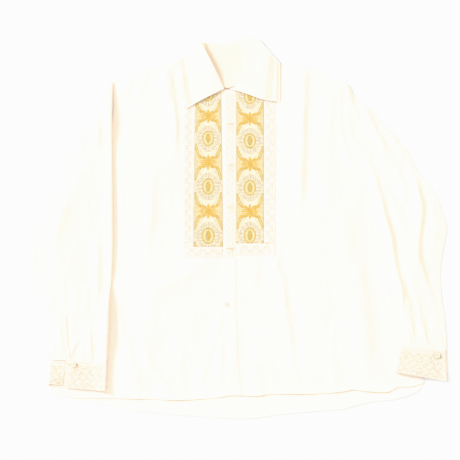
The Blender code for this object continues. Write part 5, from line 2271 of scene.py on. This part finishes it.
@dataclass
class Buttons:
    """Shell buttons, turned with a rim and a dished middle, sewn on through four holes."""

    wardrobe: Wardrobe
    hole: float = 0.75
    spacing: float = 1.15
    cuff_rise: float = 0.9

    def turned(self, name: str, place: Knot, foot: float, width: float, height: float) -> Item:
        """Turn one button and bore its four holes.

        Args:
            name: The button's name.
            place: Its middle.
            foot: Height of its underside.
            width: Its width.
            height: Its thickness.

        Returns:
            The new object.
        """
        radius = width / 2
        bm = bmesh.new()
        points = [bm.verts.new((r * radius * MM, 0.0, z * height * MM)) for r, z in BUTTON_PROFILE]
        edges = [bm.edges.new(pair) for pair in zip(points, points[1:])]
        bmesh.ops.spin(bm, geom=points + edges, cent=(0, 0, 0), axis=(0, 0, 1),
                       angle=2 * math.pi, steps=40)
        bmesh.ops.remove_doubles(bm, verts=bm.verts, dist=1e-6)
        bmesh.ops.recalc_face_normals(bm, faces=bm.faces)
        item = self.formed(name, bm)
        cutters = []
        for index in range(4):
            angle = math.pi / 4 + index * math.pi / 2
            x, y = self.spacing * math.cos(angle) * MM, self.spacing * math.sin(angle) * MM
            cutters.append(self.bore((x, y, 0.5 * height * MM), height))
        for cutter in cutters:
            cut = item.modifiers.new("hole", "BOOLEAN")
            cut.object = cutter
        graph = bpy.context.evaluated_depsgraph_get()
        item.data = bpy.data.meshes.new_from_object(item.evaluated_get(graph))
        item.modifiers.clear()
        for cutter in cutters:
            bpy.data.objects.remove(cutter)
        item.data.name = name
        item.data.materials.clear()
        shell = self.wardrobe.cuff_shell if "cuff" in name else self.wardrobe.shell
        item.data.materials.append(shell)
        item.data.shade_smooth()
        item.data.set_sharp_from_angle(angle=math.radians(40))
        item.data.transform(self.to_place(place, foot))
        return item

    def bore(self, centre: tuple[float, float, float], height: float) -> Item:
        """A cylinder that cuts one hole.

        Args:
            centre: Its middle, in metres.
            height: The button's thickness.

        Returns:
            The cylinder.
        """
        bm = bmesh.new()
        radius = 0.5 * self.hole * MM
        bmesh.ops.create_cone(bm, cap_ends=True, segments=14, radius1=radius, radius2=radius,
                              depth=3 * height * MM)
        bmesh.ops.translate(bm, verts=bm.verts, vec=centre)
        return self.formed("bore", bm)

    @staticmethod
    def formed(name: str, form: bmesh.types.BMesh) -> Item:
        """Make an object of a form, and free the form.

        Args:
            name: The object's name.
            form: The form.

        Returns:
            The new object.
        """
        mesh = bpy.data.meshes.new(name)
        form.to_mesh(mesh)
        form.free()
        item = bpy.data.objects.new(name, mesh)
        bpy.context.scene.collection.objects.link(item)
        return item

    @staticmethod
    def to_place(place: Knot, foot: float) -> Matrix:
        """The move from the origin to a place at a height."""
        from_origin = Vector((place.x * MM, place.y * MM, foot * MM))
        return Matrix.Translation(from_origin)

    def sewn(self, needle: Needle, place: Knot, foot: float, height: float) -> None:
        """Cross the holes with thread.

        Args:
            needle: Gathers the stitches.
            place: The button's middle.
            foot: Height of its underside.
            height: Its thickness.
        """
        top = foot + 0.66 * height
        for turn in (0.25 * math.pi, 0.75 * math.pi):
            along = np.array([[math.cos(turn), math.sin(turn), 0.0]])
            for beside in (-0.18, 0.18):
                shift = np.array([-math.sin(turn), math.cos(turn), 0.0]) * beside
                needle.sew(np.array([[place.x, place.y, top]]) + shift, along, 3.0, 0.35, 0.4, 0)

    def build(self) -> None:
        """Make all the buttons, each at its solid's place."""
        needle = Needle()
        nodes = [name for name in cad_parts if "button" in name]
        for node in sorted(nodes):
            low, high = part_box(node)
            place = Knot(0.5 * (low.x + high.x) / MM, 0.5 * (low.y + high.y) / MM)
            width, height = (high.x - low.x) / MM, (high.z - low.z) / MM
            foot = low.z / MM
            if node.startswith("cuff"):
                foot += self.cuff_rise
            wear(self.turned("shell_" + node, place, foot, width, height), "shell_button", node)
            self.sewn(needle, place, foot, height)
        wear(needle.make("button_threads", [self.wardrobe.beige]), "shell_button")


@dataclass
class SlitBinding:
    """The bound slit above the left cuff, made from the points of the sleeve that carries it."""

    upper: Array
    wardrobe: Wardrobe

    def build(self) -> None:
        """Make the binding and sew its edges."""
        line = Curve(SLIT_LEFT)
        rows = [row for row in self.upper if SLIT_LEFT[-1].y <= row[:, 1].mean() <= SLIT_LEFT[0].y]
        grid = []
        for row in rows:
            order = np.argsort(row[:, 0])
            x = float(line.x_at(row[:, 1].mean())) + SLIT_WIDTH * np.linspace(-0.5, 0.5, 7)
            grid.append(np.stack([x, np.interp(x, row[order, 0], row[order, 1]),
                                  np.interp(x, row[order, 0], row[order, 2])], axis=-1))
        points = np.array(grid)
        points[..., 2] += GAP + CLOTH
        item = Tailor.sheet("slit_binding", rounded(points, 0.2, 1), self.wardrobe.dense)
        wear(item, "ivory_cloth", "sleeve_slit_binding_left")
        needle = Needle()
        for column in (1, 5):
            needle.run(points[:, column], BINDING_STITCH, 0)
        wear(needle.make("slit_binding_stitches", [self.wardrobe.sewing]), "ivory_cloth")


@dataclass
class Studio:
    """A pale floor, soft light from the upper left and a camera straight above."""

    centre: Knot = Knot(-20.7, -4.9)
    span: float = 906.0
    floor_half: float = 4.0
    floor_drop: float = 0.0002
    camera_height: float = 2600.0
    key_turn: float = 150.0
    key_elevation: float = 27.0
    key_spread: float = 13.0
    key_strength: float = 3.1
    key_colour: Colour = (1.0, 1.02, 1.14)
    fill: float = 1.34
    fill_colour: Colour = (1.0, 0.915, 0.805)

    def build(self) -> None:
        """Make the floor, the lights, the camera and the way the picture is exposed."""
        scene = bpy.context.scene
        half = self.floor_half
        mesh = bpy.data.meshes.new("floor")
        corners = [(-half, -half, 0), (half, -half, 0), (half, half, 0), (-half, half, 0)]
        mesh.from_pydata(corners, [], [(0, 1, 2, 3)])
        paper = FloorFinish("pale_floor", (0.79, 0.84, 0.90), (0.77, 0.82, 0.88))
        mesh.materials.append(paper.material())
        floor = bpy.data.objects.new("floor", mesh)
        floor.location.z = -self.floor_drop
        scene.collection.objects.link(floor)

        world = bpy.data.worlds.new("studio")
        world.use_nodes = True
        back = world.node_tree.nodes["Background"]
        back.inputs["Color"].default_value = (*self.fill_colour, 1.0)
        back.inputs["Strength"].default_value = self.fill
        scene.world = world

        turn, rise = math.radians(self.key_turn), math.radians(self.key_elevation)
        level = math.cos(rise)
        towards = Vector((math.cos(turn) * level, math.sin(turn) * level, math.sin(rise)))
        middle = Vector((self.centre.x * MM, self.centre.y * MM, 0.0))
        lamp = bpy.data.lights.new("key", "SUN")
        lamp.angle = math.radians(self.key_spread)
        lamp.energy = self.key_strength
        lamp.color = self.key_colour
        key = bpy.data.objects.new("key", lamp)
        key.location = middle + towards
        key.rotation_euler = (-towards).to_track_quat("-Z", "Y").to_euler()
        scene.collection.objects.link(key)

        lens = bpy.data.cameras.new("camera")
        lens.sensor_width = 36.0
        lens.lens = lens.sensor_width * self.camera_height / self.span
        camera = bpy.data.objects.new("camera", lens)
        camera.location = middle + Vector((0.0, 0.0, self.camera_height * MM))
        scene.collection.objects.link(camera)
        scene.camera = camera
        self.expose(scene)

    @staticmethod
    def expose(scene: bpy.types.Scene) -> None:
        """Print the brightest tones just under white.

        Args:
            scene: The scene.
        """
        view = scene.view_settings
        view.view_transform = "Standard"
        view.look = "None"
        view.use_curve_mapping = True
        mapping = view.curve_mapping
        mapping.white_level = (1.25, 1.25, 1.25)
        mapping.extend = "HORIZONTAL"
        curve = mapping.curves[3]
        curve.points[-1].location = (1.0, 0.975)
        curve.points.new(0.60, 0.75)
        curve.points.new(0.80, 0.925)
        mapping.update()


def main() -> None:
    """Dress the shirt, piece by piece, and light it."""
    logging.basicConfig(level=logging.INFO, format="%(name)s %(message)s")
    wardrobe = Wardrobe()
    Body(wardrobe).build()

    halves = (BibHalf("left", LEAF_LEFT_FOOT, GOLD_LEFT, SIDE_STRIP_LEFT, FOOT_STRIP_LEFT,
                      OVALS_LEFT, wardrobe),
              BibHalf("right", LEAF_RIGHT_FOOT, GOLD_RIGHT, SIDE_STRIP_RIGHT, FOOT_STRIP_RIGHT,
                      OVALS_RIGHT, wardrobe))
    for make in (BibHalf.gold_band, BibHalf.side_strip, BibHalf.foot_strip):
        for half in halves:
            make(half)
    Placket(wardrobe).build()

    left_upper = Sleeve("sleeve_of_the_left", "sleeve_left", SLEEVE_LEFT_OUTER, SLEEVE_LEFT_INNER,
                        SLEEVE_LEFT_CREASES, ROLL_LEFT, mirrored=False, wardrobe=wardrobe, seed=51,
                        rests_on=("shirt_front_left",)).build()
    SlitBinding(left_upper, wardrobe).build()
    Sleeve("sleeve_of_the_right", "sleeve_right", SLEEVE_RIGHT_OUTER, SLEEVE_RIGHT_INNER,
           SLEEVE_RIGHT_CREASES, ROLL_RIGHT, mirrored=True, wardrobe=wardrobe, seed=61,
           rests_on=("shirt_front_right",)).build()
    Cuff("cuff_of_the_left", "cuff_left", CUFF_LEFT_OUTER, CUFF_LEFT_INNER, lap=0.28, flap=0.42,
         lap_on_left=True, flap_rise=5.0, wardrobe=wardrobe, seed=71, sleeve="sleeve_of_the_left",
         button=48.0, button_down=7.0, edge_lift=5.2, flap_lift=2.0).build()
    Cuff("cuff_of_the_right", "cuff_right", CUFF_RIGHT_INNER, CUFF_RIGHT_OUTER, lap=0.035,
         flap=0.26, lap_on_left=False, flap_rise=0.0, wardrobe=wardrobe, seed=81,
         sleeve="sleeve_of_the_right", button=19.0, button_down=8.5, edge_lift=1.0, plain=3.2,
         foot_lift=4.6, roll=1.2).build()
    Neck(wardrobe).build()
    Leaf("leaf_left", "collar_leaf_left", LEAF_LEFT_TOP, LEAF_LEFT_FOOT, LEAF_LEFT_EDGE,
         LEAF_LEFT_FOLD, fold_on_right=True, rise=10.5, borders=(5.6, 10.2), wardrobe=wardrobe,
         front="shirt_front_left").build()
    Leaf("leaf_right", "collar_leaf_right", LEAF_RIGHT_TOP, LEAF_RIGHT_FOOT, LEAF_RIGHT_EDGE,
         LEAF_RIGHT_FOLD, fold_on_right=False, rise=1.6, borders=(4.6, 17.5, 22.2, 26.9),
         wardrobe=wardrobe, front="shirt_front_right", roll=1.3).build()
    Buttons(wardrobe).build()
    Studio().build()


if __name__ == "__main__":
    main()
